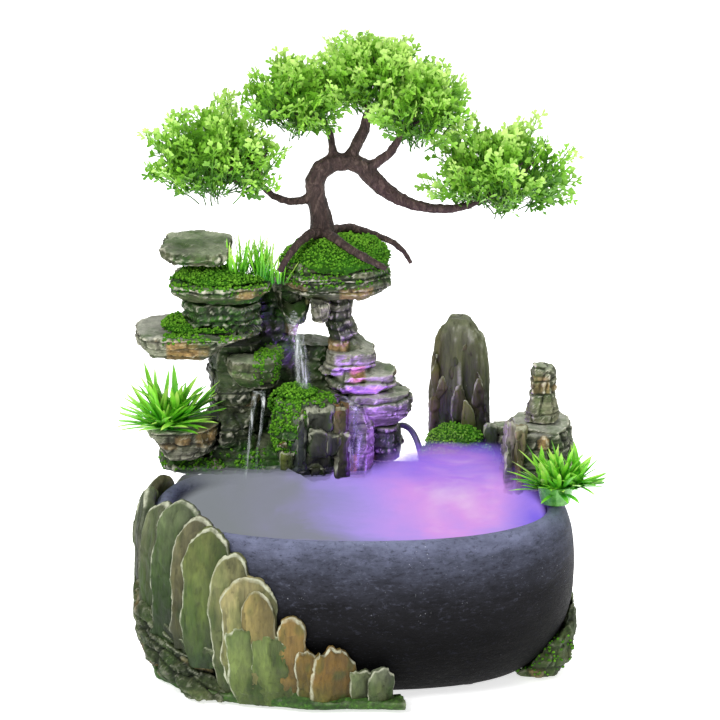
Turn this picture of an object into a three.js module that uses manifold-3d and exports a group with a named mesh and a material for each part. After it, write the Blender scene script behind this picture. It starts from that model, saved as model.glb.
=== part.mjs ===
// Tabletop rockery water fountain: a charcoal resin basin with a stacked-slate rockery on its rear rim,
// standing slates wrapped round its left side, a plug-in bonsai tree, moss and grass, a submersible pump
// with its riser hose, and an ultrasonic mist maker with an LED ring and its lead.
// Units are millimetres, +Z up, +Y to the rear. The origin is the centre of the bounding box, on the table.

import * as THREE from 'three';
import { mergeVertices } from 'three/addons/utils/BufferGeometryUtils.js';
import Module from 'manifold-3d';

const wasm = await Module();
wasm.setup();

// ---- driving dimensions -------------------------------------------------------------------------
const GAP = 0.4;              // assembly gap between neighbouring pieces
const ORIGIN_SHIFT = [-1.87, -3.19];  // moves the working frame's centre to the bounding box centre
const BOWL_X = 1.5;           // basin centre in the working frame
const BOWL_POWER = 2.3;       // superellipse exponent of the basin's plan
const BOWL_SIDES = 32;
const FOOT_H = 2.0, FOOT_R = 8.0, FOOT_AT = [[-58, -26], [60, -26], [-58, 30], [60, 30]];
// basin wall, outside from the underside up to the lip, then inside down to the floor: z, half width, half depth
const BOWL_WALL = [
  [2.3, 88, 47], [6, 96, 56], [16, 107, 66], [30, 115, 74], [46, 119, 78.5], [62, 120, 79.5], [78, 119, 78],
  [88, 116.5, 75.5], [94, 113.5, 72.5], [97, 110, 70],
  [97, 107, 67], [93, 104.5, 64.5], [80, 107, 67], [60, 109, 69], [40, 106, 66.5], [24, 98, 57.5], [14, 88, 48.5], [11, 80, 42],
];
const HOSE_R = 4.5;
const HOSE_PATH = [[-45, 22, 47], [-45, 22, 56], [-45.5, 27, 68], [-46, 41, 82], [-46.5, 56, 95], [-47, 68, 109], [-46, 73, 125], [-45, 74, 150], [-43, 74, 178], [-41, 72, 192], [-38.5, 66, 199.5]];
const CORD_R = 1.8;
// lead from the mist maker's gland, up the basin's rear wall, over the rim, down the back and along the table
const CORD_PATH = [
  [48, 15.6, 25], [47.6, 22, 24], [46.8, 30, 24.5], [45.2, 39, 29], [43.4, 46.5, 39], [41.8, 51.5, 52], [40.4, 54.6, 66],
  [39.2, 56, 80], [37.9, 56.6, 93], [36.4, 57.4, 104], [34, 59.8, 112], [30.4, 64.4, 117.2], [25.6, 70.4, 117.8], [20.4, 77, 113.4],
  [15.6, 82.2, 104], [12.2, 84.6, 91], [10.4, 84.8, 76], [9.6, 84.8, 58], [9.6, 85.2, 40], [10.2, 86.6, 24], [12.4, 90.4, 11.5],
  [17, 96.6, 4.6], [24, 101.4, 2.4], [32, 104.2, 2.1], [41, 105.6, 2.1], [48, 105.9, 2.1],
];
const COIL = { x: 52, y: 132.5, r: 21, w: 7.6, h: 3.85 };   // ring of wound lead on the table: middle radius, half width, half height
const PLUG_AT = [86, 105.9, 4.6];   // the plug lies beside the ring, its tail towards it

// Rockery pieces. Each layer is z, low x, high x, low y, high y; n corners, plan exponent p and roughness.
const ROCKS = {
  ledge_lower_left: { n: 12, seed: 3, rough: 0.08, p: 3, layers: [[108.6, -108.7, -85.5, 30, 60], [117.9, -114.2, -78.0, 25, 64], [126.6, -120.8, -76.8, 22, 66], [128.8, -118.6, -76.8, 24, 66]] },
  rockery_base: { n: 14, seed: 5, rough: 0.06, p: 3, layers: [[97.3, -117.1, 24.5, 38, 86], [103.0, -118.1, 19.9, 36, 87], [112.0, -113.6, 8.5, 44, 86], [117.0, -105.6, -4.1, 52, 84]] },
  neck_lower: { n: 12, seed: 7, rough: 0.09, p: 3, layers: [[110.0, -86.7, -50.8, 40, 84], [124.0, -89.2, -56.3, 34, 84], [133.0, -82.5, -54.1, 42, 84], [144.0, -84.5, -53.9, 36, 84], [157.0, -85.6, -50.5, 40, 84], [166.0, -84.9, -51.5, 40, 84], [173.0, -84.3, -52.6, 42, 82]] },
  mid_rock: { n: 11, seed: 9, rough: 0.08, p: 3, layers: [[150.3, -68.9, -43.5, 36, 66], [159.8, -74.9, -42.3, 28, 70], [167.7, -73.7, -42.8, 27, 72], [169.1, -68.1, -44.5, 32, 70]] },
  ledge_mid_left: { n: 13, seed: 11, rough: 0.07, p: 3, layers: [[167.3, -115.4, -80.5, 32, 66], [175.3, -123.1, -70.3, 25, 72], [181.4, -125.8, -55.6, 22, 76], [183.4, -123.0, -52.8, 25, 76]] },
  neck_mid: { n: 11, seed: 13, rough: 0.08, p: 3, layers: [[178.0, -97.1, -53.7, 38, 82], [188.0, -100.8, -50.2, 34, 82], [198.0, -97.3, -53.5, 36, 80]] },
  ledge_upper_left: { n: 13, seed: 15, rough: 0.07, p: 3, layers: [[199.3, -99.4, -53.3, 36, 70], [206.9, -108.1, -46.0, 26, 76], [210.6, -107.0, -47.6, 25, 78], [211.5, -102.0, -49.9, 28, 76]] },
  neck_upper: { n: 10, seed: 17, rough: 0.08, p: 3, layers: [[207.0, -94.1, -53.6, 50, 80], [214.0, -92.9, -56.9, 48, 82], [222.0, -96.8, -65.9, 50, 82]] },
  cap_rock_left: { n: 11, seed: 19, rough: 0.07, p: 3, layers: [[220.7, -103.5, -73.3, 34, 68], [225.9, -110.2, -68.8, 30, 76], [229.9, -111.4, -68.9, 32, 80], [231.2, -100.4, -71.2, 44, 78]] },
  column_back: { n: 10, seed: 21, rough: 0.07, p: 3, layers: [[108.0, -57.9, -32.7, 62, 86], [140.0, -59.9, -30.3, 58, 88], [165.0, -58.6, -32.5, 60, 86], [190.0, -53.8, -32.3, 58, 84], [205.0, -55.9, -25.4, 56, 82]] },
  back_wall: { n: 10, seed: 22, rough: 0.05, p: 3, layers: [[112.0, -44.2, -6.9, 64, 84], [140.0, -42.8, -8.6, 62, 85], [160.0, -41.6, -10.9, 62, 84], [168.0, -38.1, -13.1, 64, 82]] },
  spout_upper: { n: 10, seed: 23, rough: 0.07, p: 3, layers: [[184.8, -41.1, -28.7, 44, 66], [193.5, -45.7, -25.4, 42, 78], [199.3, -47.9, -24.3, 46, 80], [202.3, -49.1, -25.4, 52, 80]] },
  tree_rock: { n: 14, seed: 25, rough: 0.06, p: 3, layers: [[199.0, -32.1, 8.4, 44, 78], [204.0, -41.7, 17.4, 36, 86], [213.0, -43.9, 19.6, 32, 90], [221.0, -41.0, 16.3, 36, 88], [229.0, -32.0, 5.0, 46, 80]] },
  hanging_stones: { n: 9, seed: 27, rough: 0.08, p: 3, layers: [[187.1, -25.3, -15.2, 40, 60], [196.4, -28.1, -14.0, 36, 64], [204.0, -28.6, -13.5, 38, 66]] },
  column_right: { n: 10, seed: 29, rough: 0.08, p: 3, layers: [[166.0, -17.6, 9.6, 50, 80], [174.0, -16.5, 0.5, 52, 80], [185.0, -19.8, -1.7, 54, 78], [194.0, -18.1, -0.6, 54, 78], [203.0, -19.8, 3.9, 52, 80]] },
  ledge_right_upper: { n: 11, seed: 31, rough: 0.07, p: 3, layers: [[154.0, -22.1, 7.3, 46, 78], [160.0, -19.9, 11.8, 42, 82], [167.0, -17.6, 10.7, 46, 82]] },
  ledge_right_middle: { n: 11, seed: 33, rough: 0.07, p: 3, layers: [[143.0, -15.4, 17.5, 46, 78], [149.0, -17.6, 23.2, 40, 80], [155.0, -13.1, 22.0, 42, 78]] },
  ledge_right_lower: { n: 12, seed: 35, rough: 0.07, p: 3, layers: [[124.0, -2.9, 23.2, 46, 72], [131.0, -8.6, 31.1, 38, 76], [139.0, -9.7, 32.2, 36, 78], [144.0, -5.1, 30.0, 40, 76]] },
  pillar_right: { n: 10, seed: 37, rough: 0.08, p: 3, layers: [[104.0, 5.1, 25.6, 44, 72], [112.0, 3.9, 26.7, 42, 74], [124.0, 6.2, 23.2, 44, 72]] },
  plunge_pool: { n: 12, seed: 39, rough: 0.06, p: 3, layers: [[126.0, -48.3, -2.9, 38, 76], [134.0, -49.4, -0.6, 34, 80], [142.0, -48.2, -2.9, 34, 80], [146.0, -45.9, -6.3, 36, 78]] },
  front_boulder: { n: 12, seed: 41, rough: 0.07, p: 3, layers: [[98.8, -28.8, -14.1, 22, 40], [109.1, -45.6, -8.5, 16, 42], [127.4, -48.8, -6.2, 14, 44], [144.3, -48.2, -8.4, 16, 44], [148.9, -45.4, -12.9, 20, 42]] },
  chute_lower_right: { n: 10, seed: 43, rough: 0.07, p: 3, layers: [[98.0, -10.8, 8.4, 28, 62], [112.0, -11.9, 9.6, 26, 66], [128.0, -13.0, 10.7, 28, 68], [140.0, -15.3, 8.4, 36, 72]] },
  peak_tall: { n: 13, seed: 45, rough: 0.05, p: 3, layers: [[97.3, 40.7, 77.4, 62, 86], [115.0, 41.1, 76.6, 60, 87], [140.0, 41.6, 75.8, 60, 86], [158.0, 42.0, 75.0, 61, 85], [168.0, 43.7, 73.2, 62, 84], [175.0, 46.5, 69.8, 63, 83], [180.0, 50.4, 65.8, 65, 81], [182.0, 52.7, 63.5, 67, 80]] },
  moss_rock_right: { n: 11, seed: 49, rough: 0.06, p: 3, layers: [[97.3, 36.9, 77.8, 42, 62], [104.0, 36.3, 78.8, 38, 64], [112.0, 37.9, 75.4, 40, 62]] },
  rock_wall_right: { n: 14, seed: 51, rough: 0.05, p: 3, layers: [[97.3, 80.7, 121.8, 8, 62], [112.0, 81.0, 122.1, 6, 62], [124.0, 82.0, 121.9, 6, 60], [130.0, 84.1, 121.2, 8, 56], [134.0, 87.4, 120.0, 11, 52]] },
  peak_small_right: { n: 10, seed: 53, rough: 0.08, p: 3, layers: [[134.0, 93.1, 115.0, 20, 46], [140.0, 94.7, 113.8, 20, 46], [147.0, 95.8, 112.1, 22, 46], [155.0, 96.3, 111.4, 24, 44], [162.0, 96.7, 110.2, 26, 42], [166.0, 98.4, 107.4, 30, 40]] },
  saddle_wall: { n: 10, seed: 55, rough: 0.06, p: 3, layers: [[97.3, 72.5, 98.8, 56, 74], [112.0, 73.5, 97.5, 56, 74], [121.0, 74.6, 95.1, 58, 72]] },
  right_base_rock: { n: 12, seed: 57, rough: 0.07, p: 3, layers: [[2.5, 85.1, 114.5, -30, 40], [12.0, 83.9, 121.1, -34, 46], [26.0, 91.8, 122.8, -30, 48], [38.0, 105.8, 122.1, -18, 40]] },
};
// Left foot rocks and the standing slates round the basin
const FOOT_ROCKS = { n: 14, seed: 61, rough: 0.07, p: 2.6, layers: [[2.3, -104, -36, -63, 30], [9, -110, -44, -64, 40], [20, -118, -56, -60, 48], [32, -122, -66, -52, 50], [43, -123.5, -76, -44, 46], [52, -122, -88, -34, 40]] };
// slate: centre x on the contour, side of the contour (-1 front, 1 rear), top z, width, extra stand-off, foot z
const SLATES = [
  [-92, 1, 97, 24, 0, 2.3], [-109.5, 1, 101, 24, 1.0, 20], [-117, 1, 100, 20, 0.2, 34], [-119.5, -1, 104, 15, 0.4, 38], [-108.6, -1, 108.7, 20.2, 0, 36],
  [-93.9, -1, 114, 28, 0.8, 32], [-81.5, -1, 107.7, 26, 0.3, 30], [-73, -1, 104.3, 26, 2.2, 22], [-59.5, -1, 92, 22.7, 1.0, 2.3],
  [-49.5, -1, 80.5, 25.5, 1.6, 2.3], [-44.3, -1, 73.6, 16.8, 3.2, 2.3], [-50.1, -1, 52.9, 18.2, 4.4, 2.3], [-38.6, -1, 49.3, 16.7, 3.2, 2.3],
  [-27.9, -1, 58.9, 13.1, 1.4, 2.3], [-18.3, -1, 39.6, 15.2, 1.8, 2.3], [-7.6, -1, 42.5, 21.1, 1.39, 2.3], [2.4, -1, 27.8, 10.9, 1.0, 2.3], [9.9, -1, 29.4, 13, 1.8, 2.3],
];
const SLATE_OUT = [[2.3, 110, 72], [12, 118, 76.5], [30, 123.5, 81.5], [50, 125, 84], [80, 124.5, 83.5], [100, 120, 79], [112, 116, 75]];
const PLINTH = { z0: 2.3, z1: 9, from: -1.42, to: -4.1, out: -1.5 };   // low band that joins the slates, by plan angle

// Bonsai: centreline points with radius
const TRUNK = [[-18.5, 58, 216, 5], [-18.5, 58, 229, 5.2], [-18.8, 58, 233, 8.2], [-19.4, 58, 238, 7.0], [-20.6, 58, 247, 6.0], [-22.9, 58, 256.3, 5.7], [-23.6, 58, 264.5, 6.0], [-20.1, 58, 271.6, 6.0], [-12.8, 58, 275.6, 5.6], [-4.5, 58, 276.2, 5.4], [2.8, 58, 273.5, 5.5], [8.2, 58, 267.2, 5.3], [14.4, 58, 260.8, 4.9], [22.9, 57.6, 255.1, 4.1], [32.4, 57, 251.1, 3.3], [43, 56.4, 249.4, 3.0], [53, 56, 249.4, 2.7], [62, 56, 251.2, 2.3], [71, 56, 256, 1.8]];
const BRANCHES = [
  [[-24, 58, 256.5, 3.4], [-31, 57, 253.8, 2.8], [-38, 56, 253.7, 2.5], [-46.9, 56, 256.8, 2.3], [-53, 56, 262.8, 2.1], [-60, 56, 265.2, 1.9], [-70, 56, 266.2, 1.6], [-80, 56, 270, 1.4]],
  [[-53, 56, 262, 2.1], [-54.6, 56, 268, 2.2], [-54, 57, 275, 1.7], [-50, 57, 284, 1.3]],
  [[-12.8, 58, 274, 4], [-13.6, 59, 283, 2.7], [-15, 60, 292, 2.1], [-20, 60, 303, 1.6]],
  [[-6, 58, 275, 4.4], [-1.2, 60, 283, 3.7], [4, 61, 294, 3.3], [7, 63, 307, 2.4]],
  [[2.6, 58, 272, 4.2], [11, 57, 275.6, 3.2], [18.3, 56, 281.6, 2.8], [24, 55, 291, 2.3], [29, 54, 302, 1.7]],
];
const ROOTS = [
  [[-19, 54, 236, 3.4], [-25.5, 46, 238.4, 3.0], [-32.5, 38, 234.4, 2.6], [-38.5, 31.6, 228, 2.3], [-43, 29.4, 220.4, 2.0]],
  [[-17, 53, 236, 3.6], [-10, 42.6, 234.2, 3.0], [-2.6, 36, 230.8, 2.7], [6.4, 32.6, 226.6, 2.5], [16.4, 31.4, 221.4, 1.8]],
  [[-15.2, 60, 236, 3.4], [-3, 65, 236.2, 2.7], [10.2, 67, 231.4, 2.3], [20.2, 67, 227, 2.1], [26.6, 67, 221.4, 1.8], [30.4, 67, 214.6, 1.4]],
];
// Foliage masses: centre, radii
const FOLIAGE = {
  foliage_left: [[-81, 56, 282], [38, 30, 32]],
  foliage_upper_left: [[-34, 58, 313], [30, 28, 23]],
  foliage_top: [[7, 64, 325], [33, 28, 26.5]],
  foliage_upper_right: [[33, 53, 311], [29, 27, 28]],
  foliage_right: [[77, 56, 274], [42, 31, 29.5]],
};
const GRASS = {
  grass_upper: [[-57, 47, 224], [20, 11, 15]],
  grass_left: [[-107, 33, 148], [32, 19, 18]],
  grass_right: [[116, -7, 119], [24, 18, 19]],
};
// Moss pads: centre, radii; they take the shape of what they lie on
const MOSS = {
  moss_tree: [[-12, 57, 222], [31, 27, 15]],
  moss_upper_ledge: [[-76, 50, 211], [29, 22, 8.5]],
  moss_mid_ledge: [[-88, 48, 183], [27, 23, 8]],
  moss_boulder: [[-34, 36, 142], [18, 21, 11.5]],
  moss_right: [[56, 50, 112], [19.5, 11.5, 7]],
};
const PUMP = { x: -45, y: 18, z0: 14.2, sx: 36, sy: 26, sz: 28 };
const MIST = { x: 48, y: -10 };

// ---- geometry helpers ---------------------------------------------------------------------------
function rng(seed) {
  let a = seed * 2654435761 >>> 0;
  return () => { a = a + 0x6D2B79F5 | 0; let t = Math.imul(a ^ a >>> 15, 1 | a); t = t + Math.imul(t ^ t >>> 7, 61 | t) ^ t; return ((t ^ t >>> 14) >>> 0) / 4294967296; };
}
// A three.js geometry as a manifold solid
function solid(geometry) {
  const g = geometry.clone();
  g.deleteAttribute('normal'); g.deleteAttribute('uv');
  const m = mergeVertices(g, 1e-4);
  return new wasm.Manifold(new wasm.Mesh({ numProp: 3, vertProperties: new Float32Array(m.attributes.position.array), triVerts: new Uint32Array(m.index.array) }));
}
function geometryOf(s) {
  const m = s.getMesh(), n = m.numProp, v = new Float32Array(m.numVert * 3);
  for (let i = 0; i < m.numVert; i++) v.set(m.vertProperties.subarray(i * n, i * n + 3), i * 3);
  const g = new THREE.BufferGeometry();
  g.setAttribute('position', new THREE.BufferAttribute(v, 3));
  g.setIndex(new THREE.BufferAttribute(new Uint32Array(m.triVerts), 1));
  return g;
}
// A closed cylinder whose rings are moved: place(k, u, v) gives a point for ring k and the unit section (u, v)
function rings(count, sides, place) {
  const g = new THREE.CylinderGeometry(1, 1, 1, sides, count - 1);
  g.rotateX(Math.PI / 2);
  const p = g.attributes.position;
  for (let i = 0; i < p.count; i++) {
    const k = Math.round((p.getZ(i) + 0.5) * (count - 1));
    const q = place(k, p.getX(i), p.getY(i));
    p.setXYZ(i, q[0], q[1], q[2]);
  }
  return solid(g);
}
function superPoint(u, v, hx, hy, power) {
  const r = Math.hypot(u, v);
  if (r < 1e-6) return [0, 0];
  const c = u / r, s = v / r, e = 2 / power;
  return [hx * Math.sign(c) * Math.abs(c) ** e, hy * Math.sign(s) * Math.abs(s) ** e];
}
function rockSolid(def, grow = 0) {
  const rand = rng(def.seed), n = def.n, L = def.layers;
  const turn = [], size = [], own = [];
  for (let i = 0; i < n; i++) { turn.push((rand() - 0.5) * 0.5); size.push(1 + (rand() - 0.6) * 2 * def.rough); }
  for (let k = 0; k < L.length; k++) { own.push([]); for (let i = 0; i < n; i++) own[k].push([(rand() - 0.5) * def.rough, (rand() - 0.5)]); }
  return rings(L.length, n, (k, u, v) => {
    const [z, x0, x1, y0, y1] = L[k], cx = (x0 + x1) / 2, cy = (y0 + y1) / 2;
    const zz = z + (k === 0 ? -grow : k === L.length - 1 ? grow : 0);
    if (Math.hypot(u, v) < 1e-6) return [cx, cy, zz];
    let a = Math.atan2(v, u); const i = (Math.round(Math.atan2(u, -v) / (2 * Math.PI) * n) + n) % n;
    a += turn[i] * 2 * Math.PI / n;
    const m = size[i] + own[k][i][0];
    const q = superPoint(Math.cos(a), Math.sin(a), (x1 - x0) / 2 * m + grow, (y1 - y0) / 2 * m + grow, def.p);
    const inner = k > 0 && k < L.length - 1;
    return [cx + q[0], cy + q[1], zz + (inner ? own[k][i][1] * Math.min(L[k + 1][0] - z, z - L[k - 1][0]) * 0.35 : 0)];
  });
}
// A round bar along a centreline of [x, y, z, radius] points
function bar(points, sides, grow = 0, ends = grow) {
  const P = points.map(p => new THREE.Vector3(p[0], p[1], p[2])), n = P.length;
  const T = P.map((p, i) => P[Math.min(i + 1, n - 1)].clone().sub(P[Math.max(i - 1, 0)]).normalize());
  P[0].addScaledVector(T[0], -ends); P[n - 1].addScaledVector(T[n - 1], ends);
  let N = new THREE.Vector3(0, 1, 0); if (Math.abs(T[0].dot(N)) > 0.9) N.set(1, 0, 0);
  const frames = T.map(t => { N = N.clone().addScaledVector(t, -N.dot(t)).normalize(); return [N.clone(), t.clone().cross(N)]; });
  return rings(n, sides, (k, u, v) => {
    const r = points[k][3] + grow, [a, b] = frames[k];
    return [P[k].x + (a.x * u + b.x * v) * r, P[k].y + (a.y * u + b.y * v) * r, P[k].z + (a.z * u + b.z * v) * r];
  });
}
// An evenly stepped curve through points
function smooth(points, step) {
  const c = new THREE.CatmullRomCurve3(points.map(p => new THREE.Vector3(p[0], p[1], p[2])), false, 'centripetal');
  return c.getSpacedPoints(Math.max(2, Math.round(c.getLength() / step))).map(p => [p.x, p.y, p.z]);
}
function tube(points, r, sides, step, grow = 0, ends = grow) { return bar(smooth(points, step).map(p => [...p, r]), sides, grow, ends); }
function lump([c, r], seed, detail, rough, grow = 0) {
  const g = new THREE.SphereGeometry(1, detail, Math.round(detail * 0.6)); g.rotateX(Math.PI / 2);
  const p = g.attributes.position, rand = rng(seed), w = [];
  for (let i = 0; i < 9; i++) w.push([rand() * 6 - 3, rand() * 6 - 3, rand() * 6 - 3, rand() * 6]);
  for (let i = 0; i < p.count; i++) {
    const x = +p.getX(i).toFixed(5), y = +p.getY(i).toFixed(5), z = +p.getZ(i).toFixed(5);
    let m = 0; for (const a of w) m += Math.sin(a[0] * x + a[1] * y + a[2] * z + a[3]);
    m = 1 + rough * m / 3 - rough * 0.6;
    p.setXYZ(i, c[0] + x * (r[0] * m + grow), c[1] + y * (r[1] * m + grow), c[2] + z * (r[2] * m + grow));
  }
  return solid(g);
}
function lathe(profile, x, y, sides = 28) {
  const g = new THREE.LatheGeometry(profile.map(([r, z]) => new THREE.Vector2(r, z)), sides);
  g.rotateX(Math.PI / 2); g.translate(x, y, 0);
  return solid(g);
}
function block(x0, x1, y0, y1, z0, z1) {
  const g = new THREE.BoxGeometry(x1 - x0, y1 - y0, z1 - z0); g.translate((x0 + x1) / 2, (y0 + y1) / 2, (z0 + z1) / 2);
  return solid(g);
}
function rod(x, y0, y1, z, r, sides = 20) {   // a cylinder along Y
  const g = new THREE.CylinderGeometry(r, r, y1 - y0, sides); g.translate(x, (y0 + y1) / 2, z);
  return solid(g);
}
function roundedBlock(x0, x1, y0, y1, z0, z1, r) {   // a block with its edges along Y rounded
  const s = new THREE.Shape(), w = x1 - x0, h = z1 - z0;
  s.moveTo(r, 0); s.lineTo(w - r, 0); s.absarc(w - r, r, r, -Math.PI / 2, 0); s.lineTo(w, h - r); s.absarc(w - r, h - r, r, 0, Math.PI / 2);
  s.lineTo(r, h); s.absarc(r, h - r, r, Math.PI / 2, Math.PI); s.lineTo(0, r); s.absarc(r, r, r, Math.PI, 1.5 * Math.PI);
  const g = new THREE.ExtrudeGeometry(s, { depth: y1 - y0, bevelEnabled: false, curveSegments: 3 });
  g.rotateX(Math.PI / 2); g.translate(x0, y1, z0);
  return solid(g);
}
const table = (rows, z, col) => {
  if (z <= rows[0][0]) return rows[0][col];
  for (let i = 1; i < rows.length; i++) if (z <= rows[i][0]) { const t = (z - rows[i - 1][0]) / (rows[i][0] - rows[i - 1][0]); return rows[i - 1][col] + t * (rows[i][col] - rows[i - 1][col]); }
  return rows[rows.length - 1][col];
};
const all = list => list.reduce((a, b) => a.add(b));
const biggest = s => s.decompose().sort((a, b) => b.volume() - a.volume())[0];

// ---- assembly: every new piece is cut back from the pieces already placed -------------------------
const fountain = new THREE.Group();
const coarse = ['slate_screen', 'foot_rocks_left', 'rockery_core', 'plunge_pool', 'moss_tree', 'moss_upper_ledge', 'front_boulder', 'column_right', 'bonsai_trunk', 'riser_hose'];
const placed = [], fine = ['impeller_shaft', 'impeller', 'flow_regulator', 'mist_maker_ring', 'led_ring_lens', 'mist_maker_disc', 'basin_bowl'];
function touches(a, b) { const p = a.boundingBox(), q = b.boundingBox(); return [0, 1, 2].every(k => p.min[k] < q.max[k] && q.min[k] < p.max[k]); }
function add(name, made, grown, material, cutters = []) {
  let s = made;
  for (const c of cutters) s = s.subtract(c);
  for (const o of placed) if (touches(s, o.grown)) s = s.subtract(o.grown);
  s = biggest(s);
  if (fine.indexOf(name) < 0) s = biggest(s.simplify(coarse.indexOf(name) < 0 ? 0.1 : 0.2));
  placed.push({ name, grown });
  const mesh = new THREE.Mesh(geometryOf(s), material);
  mesh.name = name;
  fountain.add(mesh);
  return s;
}
const paint = (hex, roughness, metalness = 0) => new THREE.MeshStandardMaterial({ color: hex, roughness, metalness });
const CHARCOAL = paint(0x35353c, 0.55), ROCK = paint(0x77735a, 0.9), SLATE = paint(0x7d8a5a, 0.85), MOSS_GREEN = paint(0x4f9a1f, 1.0),
  GRASS_GREEN = paint(0x7cc83a, 0.5), LEAF = paint(0x4f9a35, 0.55), BARK = paint(0x5a4340, 0.85), BLACK = paint(0x18181a, 0.45),
  RUBBER = paint(0x2a2a2c, 0.8), CLEAR = paint(0xc8d2d0, 0.2), CERAMIC = paint(0xf0efe6, 0.3), BRASS = paint(0xb9a05a, 0.3, 1), LENS = paint(0xd8c8ff, 0.15), CORD = paint(0x4a4c52, 0.6);

// pump ------------------------------------------------------------------------------------------------
{
  const { x, y, z0, sx, sy, sz } = PUMP, x0 = x - sx / 2, x1 = x + sx / 2, y0 = y - sy / 2, y1 = y + sy / 2, z1 = z0 + sz, zc = z0 + sz * 0.46;
  const face = y0 + 6;      // joint face between housing and cover
  const shell = (g) => roundedBlock(x0 - g, x1 + g, face - g, y1 + g, z0 - g, z1 + g, 4 + g)
    .add(lathe([[0, z1 - 2 - g], [5.4 + g, z1 - 2 - g], [5.4 + g, z1 + 1.2 + g], [2.7 + g, z1 + 1.2 + g], [2.7 + g, z1 + 11 + g], [0, z1 + 11 + g]], x, 22, 20))
    .add(rod(x, y1 - 1, y1 + 6 + g, z0 + 7, 3 + g, 16));
  const well = rod(x, face - 1, face + 13, zc, 8.2, 28).add(block(x - 2, x + 2, face - 1, face + 5, zc, z1 - 3)).add(rod(x, face + 12, face + 15, zc, 1.0, 12));
  const bore = lathe([[0, z1 - 4], [1.8, z1 - 4], [1.8, z1 + 12], [0, z1 + 12]], x, 22, 16);
  add('pump_housing', shell(0).subtract(well).subtract(bore), shell(GAP).subtract(rod(x, face - 2, face + 12.7, zc, 7.9, 28)), BLACK);
  const shaft = g => rod(x, face + 0.6 - g, face + 14.6 + g, zc, 0.9 + g, 12);
  add('impeller_shaft', shaft(0), shaft(0.05), CERAMIC);
  const rotor = g => {
    let s = rod(x, face + 5 - g, face + 12.2 + g, zc, 6.6 + g, 24);
    for (let i = 0; i < 3; i++) { const b = new THREE.BoxGeometry(13 + 2 * g, 3.9, 1.4 + 2 * g); b.rotateY(i * Math.PI / 3); b.translate(x, face + 3.2, zc); s = s.add(solid(b)); }
    return s.subtract(rod(x, face - 2, face + 16, zc, 0.97, 16));
  };
  add('impeller', rotor(0), rotor(GAP), BLACK);
  // cover: a shallow cap with intake slots and the regulator's window
  let cap = roundedBlock(x0, x1, y0, face - GAP, z0, z1, 4);
  for (let i = 0; i < 6; i++) cap = cap.subtract(block(x - 13.5 + i * 5, x - 11.7 + i * 5, y0 - 1, face + 1, z0 + 4.5, z0 + 15.5));
  cap = cap.subtract(block(x - 9, x + 9, y0 - 1, y0 + 2.4, z1 - 9.2, z1 - 3.2));
  add('pump_cover', cap, roundedBlock(x0 - GAP, x1 + GAP, y0 - GAP, face, z0 - GAP, z1 + GAP, 4), BLACK);
  const coverSpace = placed.pop();   // the regulator sits in the cover's window
  const knob = block(x - 8.6, x - 0.6, y0 + 0.4, y0 + 2.0, z1 - 8.8, z1 - 3.6).add(block(x - 6.2, x - 3, y0 - 1.6, y0 + 1, z1 - 8.2, z1 - 4.2));
  add('flow_regulator', knob, knob, RUBBER);
  placed.push(coverSpace);
  const cup = g => (cx, cy) => lathe([[0, 11.3 - g], [4 + g, 11.3 - g], [1.8 + g, 13 + g * 0.5], [0, 13 + g * 0.5]], cx, cy, 10);
  const cups = g => all([[-10, -3], [10, -3], [-10, 6], [10, 6]].map(([dx, dy]) => cup(g)(x + dx, y + dy))).add(block(x - 12 - g, x + 12 + g, y - 5 - g, y + 8 + g, 12.9 - g, z0 - 0.2 + g));
  add('pump_suction_base', cups(0), cups(0.2), RUBBER);
  add('riser_hose', tube(HOSE_PATH, HOSE_R, 10, 12, 0), tube(HOSE_PATH, HOSE_R, 10, 12, GAP + 0.1), CLEAR);
}
// mist maker ---------------------------------------------------------------------------------------------
{
  const { x, y } = MIST;
  const body = lathe([[0, 11.4], [17, 11.4], [18, 12.4], [18, 33], [16.6, 36], [10.8, 36], [10.8, 32.6], [0, 32.6]], x, y, 24);
  add('mist_maker_body', body, lathe([[0, 11.1], [18.3, 11.1], [18.3, 36.3], [0, 36.3]], x, y, 32), BLACK);
  placed.pop();
  add('mist_maker_disc', lathe([[0, 33], [10, 33], [10, 33.8], [0, 33.8]], x, y, 24), body, CERAMIC);
  placed.pop();
  let ring = lathe([[7.4, 34.2], [10.3, 34.2], [10.3, 36.4], [12.2, 36.4], [12.2, 38.6], [7.4, 38.6], [7.4, 34.2]], x, y, 20);
  for (let i = 0; i < 4; i++) { const g = new THREE.BoxGeometry(1.4, 6, 3); g.translate(0, 12.6, 38.4); g.rotateZ(i * Math.PI / 2 + 0.4); g.translate(x, y, 0); ring = ring.subtract(solid(g)); }
  add('mist_maker_ring', ring, ring, BRASS);
  placed.pop();
  add('led_ring_lens', lathe([[13.2, 36.3], [15.8, 36.3], [15.4, 37.8], [13.6, 37.8], [13.2, 36.3]], x, y, 24), ring, LENS);
  placed.pop();
  placed.push({ name: 'mist', grown: lathe([[0, 11.1], [18.4, 11.1], [18.4, 39.2], [0, 39.2]], x, y, 32) });
  const gland = g => { const c = new THREE.CylinderGeometry(2.5 + g, 3.5 + g, 7 + 2 * g, 14); c.translate(x, 0, 0); c.translate(0, 8.4 + 3.5, 25); return solid(c); };
  add('mist_maker_gland', gland(0), gland(GAP), RUBBER);
}
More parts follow.
